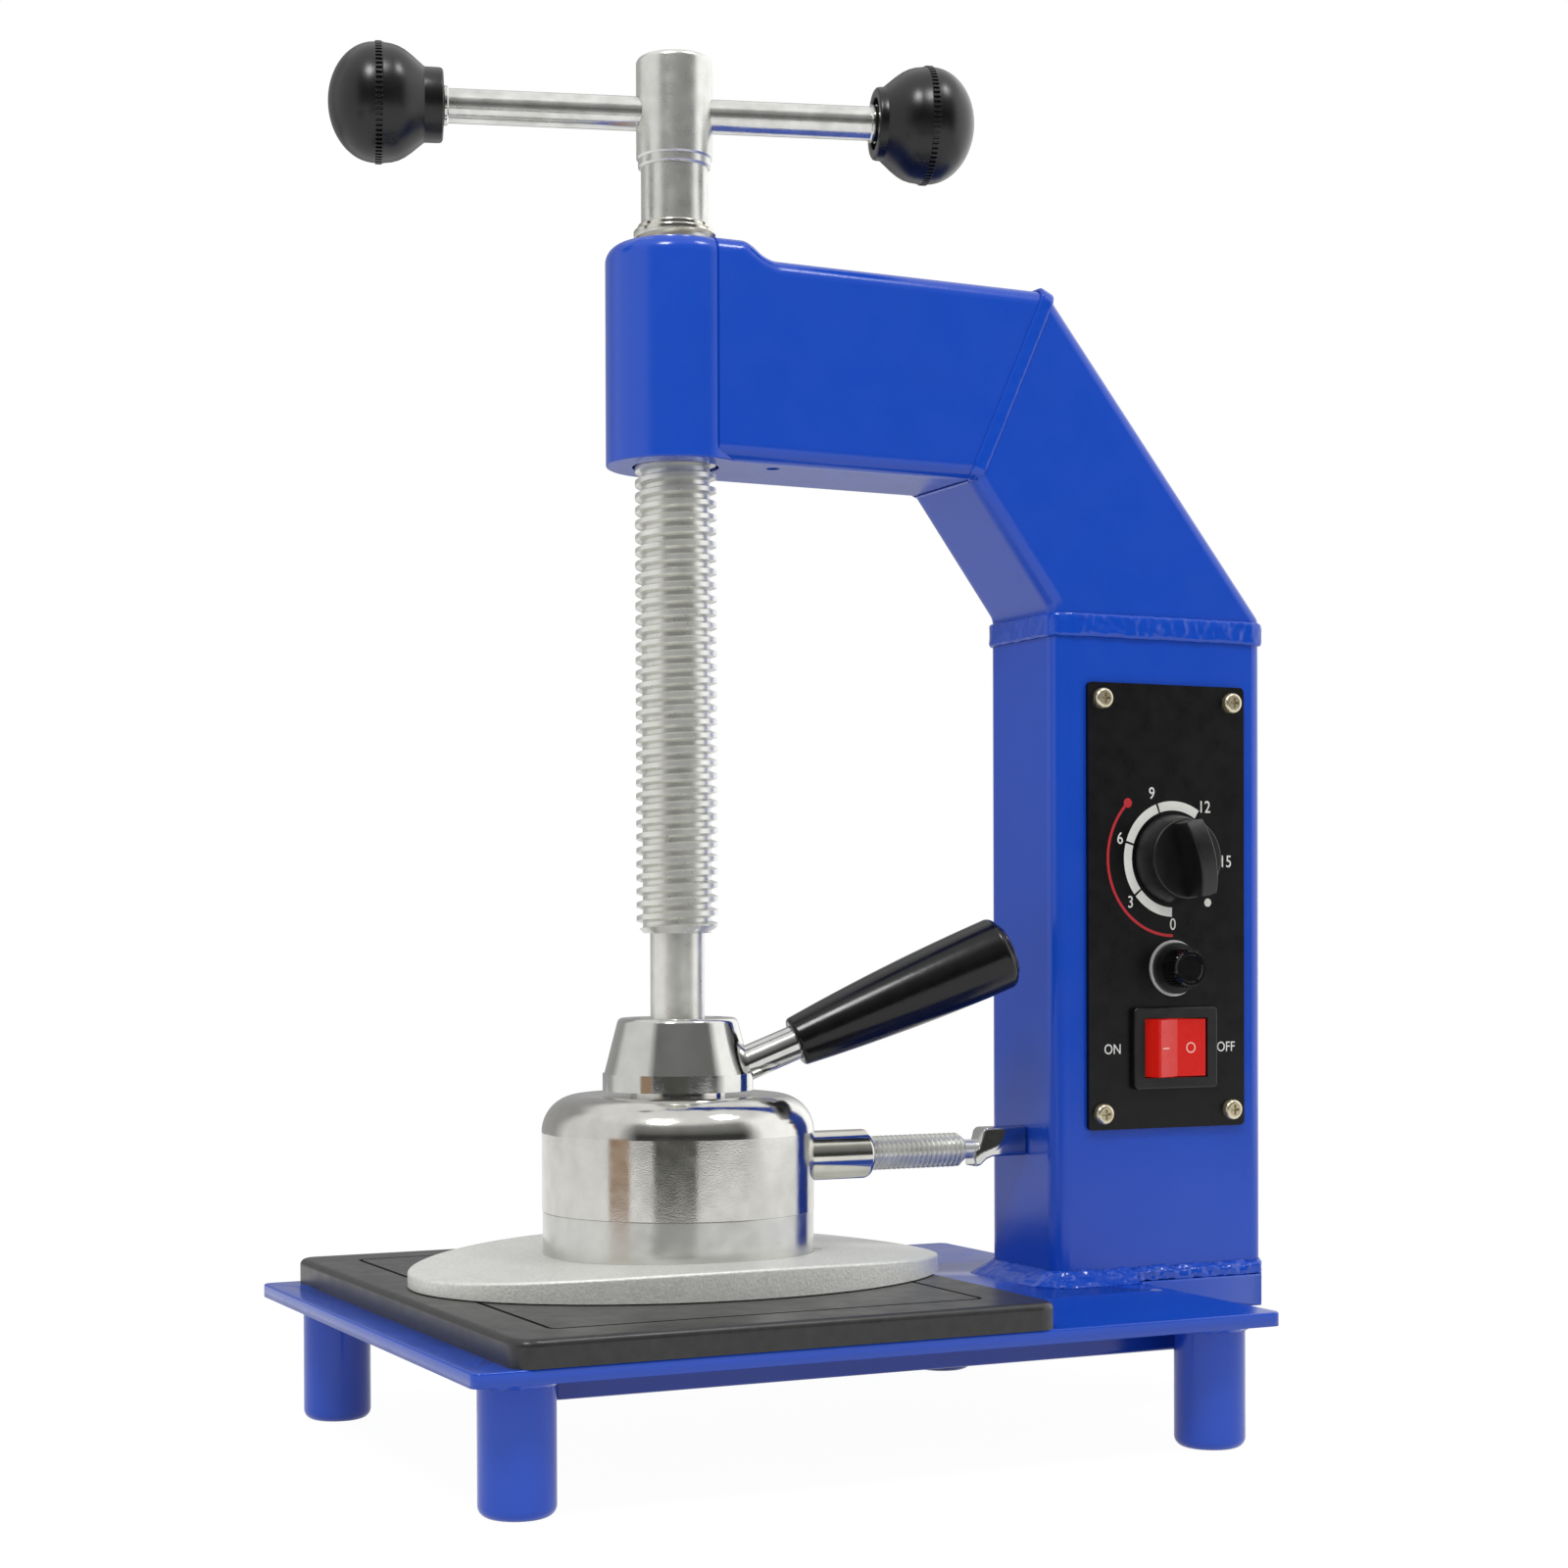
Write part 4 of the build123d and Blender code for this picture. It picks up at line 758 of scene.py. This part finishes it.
# Radius and distance from the seam of the knob's inner half, in millimetres.
INNER_HALF = (
    (16.75, 1.5),
    (16.45, 3.9),
    (15.9, 5.8),
    (15.0, 7.6),
    (13.6, 9.6),
    (12.1, 11.4),
    (11.3, 12.4),
    (10.85, 12.9),
    (10.6, 13.3),
    (10.55, 17.5),
    (10.35, 18.2),
    (9.8, 18.6),
    (7.9, 18.6),
    (7.5, 18.3),
    (7.3, 16.0),
    (0, 16.0),
)
# Where the knob's collar starts, in millimetres from the seam.
COLLAR_START = 13.5
# Radius and distance from the seam of the grooved bushing, in millimetres.
BUSHING = (
    (4, 14),
    (5.6, 14),
    (5.6, 18.2),
    (5.2, 18.4),
    (5.2, 18.8),
    (5.6, 19.0),
    (5.6, 19.7),
    (5.1, 20.1),
    (4, 20.1),
    (4, 14),
)
DOME_STEPS = 28
# How far the seam's lip stands out, how far it leans, and how wide it is.
LIP_RISE = 0.1 * MM
LIP_LEAN = 0.2 * MM
LIP_WIDTH = 0.3 * MM
# Share of the room round the seam that the ribs take up.
RIB_SHARE = 0.55


def copy_of(piece):
    """A copy of a piece with its own mesh."""
    twin = piece.copy()
    twin.data = piece.data.copy()
    bpy.context.scene.collection.objects.link(twin)
    return twin


def ribs_round(radius, rise, width, count):
    """Small ribs along Z, spaced evenly round the Z axis."""
    deselect()
    bpy.ops.mesh.primitive_cube_add(size=1, location=(radius, 0, 0))
    ribs = bpy.context.object
    ribs.scale = (2 * rise, FULL_TURN * radius / count * RIB_SHARE, width)
    bpy.ops.object.transform_apply()
    edit(ribs)
    bpy.ops.mesh.bevel(offset=rise / 3, segments=1)
    bpy.ops.mesh.select_all(action="SELECT")
    last = FULL_TURN * (count - 1) / count
    bpy.ops.mesh.spin(steps=count - 1, dupli=True, angle=last, center=(0, 0, 0), axis=(0, 0, 1))
    bpy.ops.object.mode_set(mode="OBJECT")
    return ribs


class VULCANIZER_OT_ball_knobs(bpy.types.Operator):
    """Add the moulded ball knobs with their ribbed seams"""

    bl_idname = "vulcanizer.ball_knobs"
    bl_label = "Add Ball Knobs"

    def execute(self, context):
        sizes = context.scene.vulcanizer_knobs
        bushing = turned("bushing", [(r * MM, t * MM) for r, t in BUSHING], steps=64)
        radius = (high("ball_left").y - low("ball_left").y) / 2
        left = middle("ball_left")
        left.x = low("ball_left").x + radius
        right = middle("ball_right")
        right.x = high("ball_right").x - radius
        way = (right - left).normalized()
        heading = math.atan2(way.y, way.x)
        for side, spot, turn, inset in (
            ("left", left, heading, 0),
            ("right", right, heading + math.pi, sizes.right_inset),
        ):
            ball = self.add_ball(sizes, inset)
            place(ball, spot - way * inset, (0, QUARTER, turn))
            finish_piece(ball, f"ball_knob_{side}", "t_bar", "black_ball", f"ball_{side}")
            ring = copy_of(bushing)
            place(ring, spot, (0, QUARTER, turn))
            finish_piece(ring, f"knob_bushing_{side}", "t_bar", "bright_steel")
        bpy.data.objects.remove(bushing)
        return {"FINISHED"}

    def add_ball(self, sizes, shorter):
        """A knob about the Z axis, whose collar may be shorter."""
        half = sizes.seam_width / 2
        depth = sizes.dome_depth - half
        dome = [
            (sizes.radius * math.sin(t), -half - depth * math.cos(t))
            for t in (math.radians(90 * i / DOME_STEPS) for i in range(DOME_STEPS + 1))
        ]
        root = sizes.radius - sizes.seam_rise
        lip = sizes.radius + LIP_RISE
        seam = [(root, -half), (root, half - LIP_LEAN), (lip, half), (lip, half + LIP_WIDTH)]
        inner = [(r * MM, t * MM - (shorter if t > COLLAR_START else 0)) for r, t in INNER_HALF]
        ball = turned("ball", dome + seam + inner)
        ribs = ribs_round(sizes.radius, sizes.seam_rise, sizes.seam_width, sizes.rib_count)
        return join([ball, ribs])


class WeldSizes(bpy.types.PropertyGroup):
    """How lumpy the enamelled weld beads are."""

    grid: length("Grid", "Size of the remeshed bead's faces", 0.45 * MM)
    near_lump: length("Near lump", "Height of the lumps on the side that is seen", 1.5 * MM)
    lump_size: length("Lump size", "Distance between lumps", 3.2 * MM)
    even_share: FloatProperty(
        name="Even share",
        description="Share of the lumps off the column's near face",
        default=0.3,
        min=0,
        max=1,
    )


# CAD node of each bead, share of the lumps' height, and rounds of smoothing before they are added.
WELD_BEADS = (
    ("column_base_weld", 1.1, 2),
    ("column_top_weld", 0.4, 26),
    ("mitre_weld", 0.15, 5),
    ("foot_welds", 0.6, 4),
)
LUMP_LEVEL = 0.62
FLOW_ROUNDS = 3
NEAR_MARGIN = 0.5 * MM
# Where the column's bead and the plate's tongue end, inside the column's rear edges.
END_INSET = 1.5 * MM
END_ANGLE = math.radians(35)


def smoothing(piece, name, rounds):
    """Evens out a piece's points in a number of rounds."""
    modifier = piece.modifiers.new(name, "SMOOTH")
    modifier.factor = 0.5
    modifier.iterations = rounds


class VULCANIZER_OT_welds(bpy.types.Operator):
    """Add the hand-laid weld beads under the enamel"""

    bl_idname = "vulcanizer.welds"
    bl_label = "Add Welds"

    def execute(self, context):
        sizes = context.scene.vulcanizer_welds
        clouds = bpy.data.textures.new("weld_lumps", "CLOUDS")
        clouds.noise_scale = sizes.lump_size
        clouds.noise_depth = 1
        near_face = low("column").y
        for node, share, rounds in WELD_BEADS:
            source = frame["nodes"][node]
            bead = bpy.data.objects.new(f"{node}_bead", source.data.copy())
            context.scene.collection.objects.link(bead)
            bead.matrix_world = source.matrix_world.copy()
            place(bead, bead.location, bead.rotation_euler)
            close_mesh(bead)
            if node == "column_base_weld":
                self.end_bead(bead)
            remesh = bead.modifiers.new("even_faces", "REMESH")
            remesh.mode = "VOXEL"
            remesh.voxel_size = sizes.grid
            smoothing(bead, "rounded", rounds)
            apply_modifiers(bead)
            lumpy = bead.vertex_groups.new(name="lumpy")
            for point in bead.data.vertices:
                near = point.co.y < near_face + NEAR_MARGIN or node != "column_base_weld"
                lumpy.add([point.index], 1.0 if near else sizes.even_share, "REPLACE")
            lumps = bead.modifiers.new("lumps", "DISPLACE")
            lumps.texture = clouds
            lumps.vertex_group = lumpy.name
            lumps.strength = sizes.near_lump * share
            lumps.mid_level = LUMP_LEVEL
            smoothing(bead, "flow", FLOW_ROUNDS)
            apply_modifiers(bead)
            finish_piece(bead, f"{node}_bead", "frame", "blue_enamel", node, look="weld_enamel")
            pick(bead)
            bpy.ops.object.shade_smooth()
        return {"FINISHED"}

    def end_bead(self, bead):
        """Ends the bead at the column's rear edges."""
        corner = Vector((high("column").x - END_INSET, 0, 0))
        reach = high("column").y
        for side in (-1, 1):
            edit(bead)
            bpy.ops.mesh.bisect(
                plane_co=corner + Vector((0, side * reach, 0)),
                plane_no=(math.cos(END_ANGLE), side * math.sin(END_ANGLE), 0),
                use_fill=True,
                clear_outer=True,
            )
        bpy.ops.object.mode_set(mode="OBJECT")


# Width and length of the box that trims the tongue's end.
WASTE_WIDTH = 20 * MM
WASTE_LENGTH = 14 * MM


class VULCANIZER_OT_base_plate(bpy.types.Operator):
    """Add the base plate with its tongue cut flush with the column"""

    bl_idname = "vulcanizer.base_plate"
    bl_label = "Add Base Plate"

    def execute(self, context):
        source = frame["nodes"]["base_plate"]
        plate = bpy.data.objects.new("base_plate_flush", source.data.copy())
        context.scene.collection.objects.link(plate)
        close_mesh(plate)
        column_high = high("column")
        plate_middle = middle("base_plate")
        waste_height = 4 * (high("base_plate").z - low("base_plate").z)
        edit(plate)
        bpy.ops.mesh.bisect(
            plane_co=column_high, plane_no=(1, 0, 0), use_fill=True, clear_outer=True
        )
        for side in (-1, 1):
            outwards = Vector((math.cos(END_ANGLE), side * math.sin(END_ANGLE), 0))
            along = Vector((-math.sin(END_ANGLE), side * math.cos(END_ANGLE), 0))
            corner = Vector((column_high.x - END_INSET, side * column_high.y, plate_middle.z))
            deselect()
            bpy.ops.mesh.primitive_cube_add(size=1)
            waste = context.object
            waste.scale = (WASTE_WIDTH, WASTE_LENGTH, waste_height)
            spot = corner + outwards * WASTE_WIDTH / 2 + along * WASTE_LENGTH / 3
            place(waste, spot, (0, 0, side * END_ANGLE))
            boolean(plate, waste, "DIFFERENCE")
        finish_piece(plate, "base_plate_flush", "frame", "blue_enamel", "base_plate")
        return {"FINISHED"}


# Outline of the cranked nose, as shares of the shoe's length and of half its height.
NOSE_UPPER = ((0, -0.5), (0.07, -0.4), (0.12, 0.2), (0.16, 0.9), (0.22, 1.15), (1, 1.15))
NOSE_LOWER = ((1, -1.1), (0.35, -1.1), (0.22, -1.3), (0.1, -1.75), (0, -1.85))
NOSE_WIDTH = 0.9
NOSE_ROUNDING = 0.8 * MM


class VULCANIZER_OT_guide_nose(bpy.types.Operator):
    """Add the flattened and cranked nose that runs on the column"""

    bl_idname = "vulcanizer.guide_nose"
    bl_label = "Add Guide Nose"

    def execute(self, context):
        start = low("guide_shoe")
        end = high("guide_shoe")
        run = end.x - start.x
        half = (end.z - start.z) / 2
        outline = [(x * run, z * half) for x, z in NOSE_UPPER + NOSE_LOWER]
        nose = draw_outline("nose", outline + outline[:1])
        edit(nose)
        bpy.ops.mesh.remove_doubles(threshold=WELD_DISTANCE)
        bpy.ops.mesh.edge_face_add()
        bpy.ops.mesh.select_all(action="SELECT")
        width = NOSE_WIDTH * (end.y - start.y)
        bpy.ops.mesh.extrude_region_move(TRANSFORM_OT_translate={"value": (0, width, 0)})
        close_mesh(nose)
        rounding = nose.modifiers.new("rounding", "BEVEL")
        rounding.width = NOSE_ROUNDING
        rounding.segments = 3
        rounding.angle_limit = math.radians(40)
        apply_modifiers(nose)
        axis = middle("guide_shoe")
        place(nose, (start.x, axis.y - width / 2, axis.z))
        finish_piece(nose, "guide_nose", "press_head", "bright_steel", "guide_shoe")
        return {"FINISHED"}


# Outline of the cap's end, as shares of its radius and millimetres from its rim.
CAP_END = ((0, -0.5), (0.72, -0.5), (0.78, 0), (0.92, 0), (1, -0.6))
CAP_RIBS = 30
CAP_RIB_RISE = 0.3 * MM
# How much the ribs' roots lie inside the cap's box, and how much shorter the ribs are than the cap.
CAP_ROOT_INSET = 0.35 * MM
CAP_RIB_SHORTER = 1.6 * MM


class VULCANIZER_OT_fuse_cap(bpy.types.Operator):
    """Add the ribbed cap of the fuse holder"""

    bl_idname = "vulcanizer.fuse_cap"
    bl_label = "Add Fuse Cap"

    def execute(self, context):
        near = low("fuse_cap").y
        seat = low("fuse_holder").y
        reach = seat - near + MM
        radius = (high("fuse_cap").x - low("fuse_cap").x) / 2 - CAP_ROOT_INSET
        end = [(radius * share, reach + step * MM) for share, step in CAP_END]
        cap = turned("cap", end + [(radius, 0), (0, 0)], steps=64)
        ribs = ribs_round(radius, CAP_RIB_RISE, reach - CAP_RIB_SHORTER, CAP_RIBS)
        place(ribs, (0, 0, reach / 2))
        cap = join([cap, ribs])
        axis = middle("fuse_cap")
        place(cap, (axis.x, near + reach, axis.z), (QUARTER, 0, 0))
        finish_piece(
            cap, "fuse_cap_ribbed", "fuse_cap", "black_moulding", "fuse_cap", look="glossy_cap"
        )
        return {"FINISHED"}


# Width of the marks' lines, length of the dash as a share of the ring's diameter, and where the
# two marks sit as shares of the rocker's width.
MARK_LINE = 0.4 * MM
DASH_LENGTH = 1.2
DASH_PLACE = 0.19
RING_PLACE = 0.73
# How far before the rocker the search for its surface starts.
MARK_AWAY = 5 * MM


class VULCANIZER_OT_rocker_marks(bpy.types.Operator):
    """Add the dash and the ring moulded on the rocker"""

    bl_idname = "vulcanizer.rocker_marks"
    bl_label = "Add Rocker Marks"

    def execute(self, context):
        sizes = context.scene.vulcanizer_print
        rocker = frame["nodes"]["rocker"]
        box_low, box_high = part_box("rocker")
        width = box_high.x - box_low.x
        ring = sizes.mark_height / 2
        half = DASH_LENGTH * ring
        line = MARK_LINE / 2
        dash = draw_outline("dash", [(-half, -line), (half, -line), (half, line), (-half, line)])
        edit(dash)
        bpy.ops.mesh.edge_face_add()
        bpy.ops.mesh.select_all(action="SELECT")
        bpy.ops.mesh.extrude_region_move(TRANSFORM_OT_translate={"value": (0, -sizes.rise, 0)})
        circle = band(ring - MARK_LINE, ring, sizes.rise, 0, 360)
        marks = []
        back = rocker.matrix_world.inverted()
        for piece, share in ((dash, DASH_PLACE), (circle, RING_PLACE)):
            start = Vector((box_low.x + share * width, box_low.y - MARK_AWAY, middle("rocker").z))
            _, spot, normal, _ = rocker.ray_cast(back @ start, Vector((0, 1, 0)))
            turn = Vector((0, -1, 0)).rotation_difference(normal).to_euler()
            place(piece, rocker.matrix_world @ spot, turn)
            marks.append(piece)
        finish_piece(join(marks), "rocker_marks", "rocker", "red_rocker", look="pale_mark")
        return {"FINISHED"}


class CameraSettings(bpy.types.PropertyGroup):
    """Where the photograph was taken from."""

    yaw: angle("Yaw", "Turn of the view from +Y towards +X", 25.4)
    pitch: angle("Pitch", "Tilt upwards", -0.6)
    roll: angle("Roll", "Turn about the view", -0.2)
    offset: FloatVectorProperty(
        name="Offset",
        description="Camera place from the foot of the press axis",
        default=(-0.3231, -0.7288, 0.1489),
        subtype="TRANSLATION",
        unit="LENGTH",
    )
    focal_pixels: FloatProperty(name="Focal length", description="In pixels", default=2754.8)
    centre_x: FloatProperty(name="Centre X", description="Principal point in pixels", default=762.9)
    centre_y: FloatProperty(name="Centre Y", description="Principal point in pixels", default=982.5)
    picture_width: FloatProperty(name="Picture width", description="In pixels", default=1600.0)
    sensor: FloatProperty(name="Sensor", description="Sensor width in millimetres", default=36.0)


class StudioSettings(bpy.types.PropertyGroup):
    """The room that the machine stands in and mirrors."""

    table_size: length("Table size", "Side of the white table", 2.4)
    table_reach: length("Table reach", "From the press axis to the table's front edge", 1.1)
    fill: FloatProperty(name="Fill", description="Light from all sides", default=0.68, min=0)
    ceiling: FloatProperty(name="Ceiling", description="Mirrored from above", default=0.95, min=0)


# Azimuth in degrees and level of the walls that the metals mirror.
STUDIO_WALLS = (
    (-180, 0),
    (-122, 0),
    (-104, 0.86),
    (-45, 0.86),
    (-30, 0.4),
    (30, 0.4),
    (48, 1.4),
    (126, 1.4),
    (145, 0),
    (180, 0),
)
# Sine of the height and least level all round.
STUDIO_FRONT = ((-0.13, 0.2), (-0.05, 0.08), (0.0, 0.04), (0.17, 0.05), (0.3, 0.15), (0.6, 0.3))
# Sines of the height between which the walls turn into the ceiling.
CEILING_EDGE = (0.6, 0.78)
# Azimuth in degrees, distance, width and height in metres, and colour of each mirrored card.
STUDIO_CARDS = (
    ("brown_card", 252.5, 0.62, 0.2, 0.11, (0.4, 0.27, 0.18, 1)),
    ("dark_card", 206, 0.6, 0.38, 0.12, (0.1, 0.1, 0.09, 1)),
)
# Place, side and watts of each square lamp, and where they all point.
STUDIO_LAMPS = (
    ("key_softbox", (-0.75, -0.76, 1.42), 0.36, 9),
    ("edge_softbox", (0.5, -0.7, 1.55), 0.3, 4.5),
)
LAMP_TARGET = Vector((0, 0, 0.2))
# How white the floor is where it is seen and mirrored, and its light there.
FLOOR_SEEN = 0.94
FLOOR_MIRRORED = 0.7
FLOOR_LEVEL = 1.03


def surface_of(material, output):
    """Makes a node's output the surface of a material."""
    surface = material.node_tree.nodes["Material Output"].inputs["Surface"]
    material.node_tree.links.new(output, surface)


class VULCANIZER_OT_stage(bpy.types.Operator):
    """Add the camera, the floor, the world and the lamps"""

    bl_idname = "vulcanizer.stage"
    bl_label = "Add Stage"

    def execute(self, context):
        self.add_camera(context)
        self.add_floor(context)
        self.add_world(context)
        self.add_cards(context)
        self.add_lamps(context)
        context.scene.view_settings.view_transform = "Standard"
        return {"FINISHED"}

    def add_camera(self, context):
        """Adds the camera that took the photograph."""
        view = context.scene.vulcanizer_camera
        level = math.cos(view.pitch)
        forward = Vector(
            (math.sin(view.yaw) * level, math.cos(view.yaw) * level, math.sin(view.pitch))
        )
        right = Vector((math.cos(view.yaw), -math.sin(view.yaw), 0))
        up = right.cross(forward)
        tilted_right = right * math.cos(view.roll) + up * math.sin(view.roll)
        tilted_up = up * math.cos(view.roll) - right * math.sin(view.roll)
        turn = Matrix((tilted_right, tilted_up, -forward)).transposed()
        axis = middle("lead_screw")
        spot = Vector((axis.x, axis.y, 0)) + Vector(view.offset)
        bpy.ops.object.camera_add(location=spot, rotation=turn.to_euler())
        camera = context.object
        camera.name = "photo_camera"
        camera.data.sensor_width = view.sensor
        camera.data.lens = view.focal_pixels / view.picture_width * view.sensor
        half = view.picture_width / 2
        camera.data.shift_x = (half - view.centre_x) / view.picture_width
        camera.data.shift_y = (view.centre_y - half) / view.picture_width
        context.scene.camera = camera

    def add_floor(self, context):
        """Adds the white table, which glows where it is seen or mirrored."""
        settings = context.scene.vulcanizer_studio
        view = context.scene.vulcanizer_camera
        deselect()
        bpy.ops.mesh.primitive_plane_add(size=settings.table_size)
        floor = context.object
        floor.name = "floor"
        axis = middle("lead_screw")
        away = Vector((math.sin(view.yaw), math.cos(view.yaw), 0))
        spot = Vector((axis.x, axis.y, 0)) + away * (settings.table_size / 2 - settings.table_reach)
        place(floor, spot, (0, 0, -view.yaw))
        material = bpy.data.materials.new("white_paper_floor")
        material.use_nodes = True
        paper = material.node_tree.nodes["Principled BSDF"]
        paper.inputs["Base Color"].default_value = linear("#F2F2F2")
        paper.inputs["Roughness"].default_value = 0.9
        ray = add_node(material, "ShaderNodeLightPath").outputs
        seen = calculate(material, "MAXIMUM", ray["Is Camera Ray"], ray["Is Transmission Ray"])
        direct = calculate(material, "MULTIPLY", seen, FLOOR_SEEN)
        mirrored = calculate(material, "MULTIPLY", ray["Is Glossy Ray"], FLOOR_MIRRORED)
        share = calculate(material, "MAXIMUM", direct, mirrored)
        light = {"Color": (1, 1, 1, 1), "Strength": FLOOR_LEVEL}
        white = add_node(material, "ShaderNodeEmission", light)
        sides = {0: share, 1: paper.outputs[0], 2: white.outputs[0]}
        mix = add_node(material, "ShaderNodeMixShader", sides)
        surface_of(material, mix.outputs[0])
        floor.data.materials.append(material)

    def add_world(self, context):
        """Adds the even white light and the room that only mirrors show."""
        settings = context.scene.vulcanizer_studio
        world = bpy.data.worlds.new("studio_world")
        context.scene.world = world
        world.use_nodes = True
        background = world.node_tree.nodes["Background"]
        background.inputs["Color"].default_value = (1, 1, 1, 1)
        ray = add_node(world, "ShaderNodeLightPath").outputs
        way = add_node(world, "ShaderNodeTexCoord").outputs["Generated"]
        parts = add_node(world, "ShaderNodeSeparateXYZ", {0: way}).outputs
        azimuth = calculate(world, "ARCTAN2", parts["X"], parts["Y"])
        turn = rescale(world, azimuth, -math.pi, math.pi)
        stops = [((degrees + 180) / 360, level) for degrees, level in STUDIO_WALLS]
        walls = self.add_levels(world, turn, stops)
        height = rescale(world, parts["Z"], *CEILING_EDGE, interpolation_type="SMOOTHSTEP")
        rise = rescale(world, parts["Z"], -1, 1)
        front = self.add_levels(world, rise, [((z + 1) / 2, level) for z, level in STUDIO_FRONT])
        around = calculate(world, "MAXIMUM", walls, front)
        room = blend(world, height, around, settings.ceiling)
        mirrored = blend(world, ray["Is Glossy Ray"], settings.fill, room)
        level = blend(world, ray["Is Camera Ray"], mirrored, 1.0)
        world.node_tree.links.new(level, background.inputs["Strength"])

    def add_levels(self, world, value, stops):
        """Adds a curve through stops of position and level."""
        curve = add_node(world, "ShaderNodeValToRGB", {"Fac": value})
        ramp = curve.color_ramp
        ramp.elements[0].position, first = stops[0]
        ramp.elements[1].position, last = stops[-1]
        ramp.elements[0].color = (first, first, first, 1)
        ramp.elements[1].color = (last, last, last, 1)
        for position, level in stops[1:-1]:
            ramp.elements.new(position).color = (level, level, level, 1)
        return curve.outputs["Color"]

    def add_cards(self, context):
        """Adds the cards that only mirrors show."""
        axis = middle("lead_screw")
        for name, azimuth, reach, width, height, tint in STUDIO_CARDS:
            turn = math.radians(azimuth)
            out = Vector((math.sin(turn), math.cos(turn), 0))
            deselect()
            bpy.ops.mesh.primitive_plane_add(size=1)
            card = context.object
            card.name = name
            card.scale = (width, height, 1)
            spot = Vector((axis.x, axis.y, height / 2)) + out * reach
            place(card, spot, (QUARTER, 0, -turn))
            material = bpy.data.materials.new(name)
            material.use_nodes = True
            glow = add_node(material, "ShaderNodeEmission", {"Color": tint, "Strength": 1.0})
            surface_of(material, glow.outputs[0])
            card.data.materials.append(material)
            card.visible_camera = False
            card.visible_diffuse = False
            card.visible_shadow = False

    def add_lamps(self, context):
        """Adds the soft lamps."""
        for name, spot, side, watts in STUDIO_LAMPS:
            turn = (LAMP_TARGET - Vector(spot)).to_track_quat("-Z", "Y").to_euler()
            bpy.ops.object.light_add(type="AREA", location=spot, rotation=turn)
            lamp = context.object
            lamp.name = name
            lamp.data.shape = "SQUARE"
            lamp.data.size = side
            lamp.data.energy = watts


class VULCANIZER_OT_finishes(bpy.types.Operator):
    """Make every finish and give it to the frame's nodes"""

    bl_idname = "vulcanizer.finishes"
    bl_label = "Add Finishes"

    def execute(self, context):
        materials.update(make_materials(context.scene.vulcanizer_colours))
        dress_nodes()
        return {"FINISHED"}


class VULCANIZER_PT_panel(bpy.types.Panel):
    """Lists the machine's operators"""

    bl_idname = "VULCANIZER_PT_panel"
    bl_label = "Tire Vulcanizer"
    bl_space_type = "VIEW_3D"
    bl_region_type = "UI"
    bl_category = "Vulcanizer"

    def draw(self, context):
        for operator in OPERATORS:
            self.layout.operator(operator.bl_idname)


GROUPS = {
    "vulcanizer_camera": CameraSettings,
    "vulcanizer_studio": StudioSettings,
    "vulcanizer_colours": FinishColours,
    "vulcanizer_thread": ThreadSizes,
    "vulcanizer_print": PrintSizes,
    "vulcanizer_knobs": KnobSizes,
    "vulcanizer_welds": WeldSizes,
}
OPERATORS = (
    VULCANIZER_OT_finishes,
    VULCANIZER_OT_stage,
    VULCANIZER_OT_spindle,
    VULCANIZER_OT_guide_stud,
    VULCANIZER_OT_ball_knobs,
    VULCANIZER_OT_welds,
    VULCANIZER_OT_base_plate,
    VULCANIZER_OT_guide_nose,
    VULCANIZER_OT_fuse_cap,
    VULCANIZER_OT_panel_print,
    VULCANIZER_OT_rocker_marks,
)


def register():
    """Registers the classes and hangs the property groups on the scene."""
    for cls in (*GROUPS.values(), *OPERATORS, VULCANIZER_PT_panel):
        bpy.utils.register_class(cls)
    for name, group in GROUPS.items():
        setattr(bpy.types.Scene, name, PointerProperty(type=group))


def unregister():
    """Takes back what register adds."""
    for name in GROUPS:
        delattr(bpy.types.Scene, name)
    for cls in reversed((*GROUPS.values(), *OPERATORS, VULCANIZER_PT_panel)):
        bpy.utils.unregister_class(cls)


def main():
    """Builds the whole scene."""
    register()
    bpy.ops.vulcanizer.finishes()
    bpy.ops.vulcanizer.stage()
    bpy.ops.vulcanizer.spindle()
    bpy.ops.vulcanizer.guide_stud()
    bpy.ops.vulcanizer.ball_knobs()
    bpy.ops.vulcanizer.welds()
    bpy.ops.vulcanizer.base_plate()
    bpy.ops.vulcanizer.guide_nose()
    bpy.ops.vulcanizer.fuse_cap()
    bpy.ops.vulcanizer.panel_print()
    bpy.ops.vulcanizer.rocker_marks()


if __name__ == "__main__":
    main()
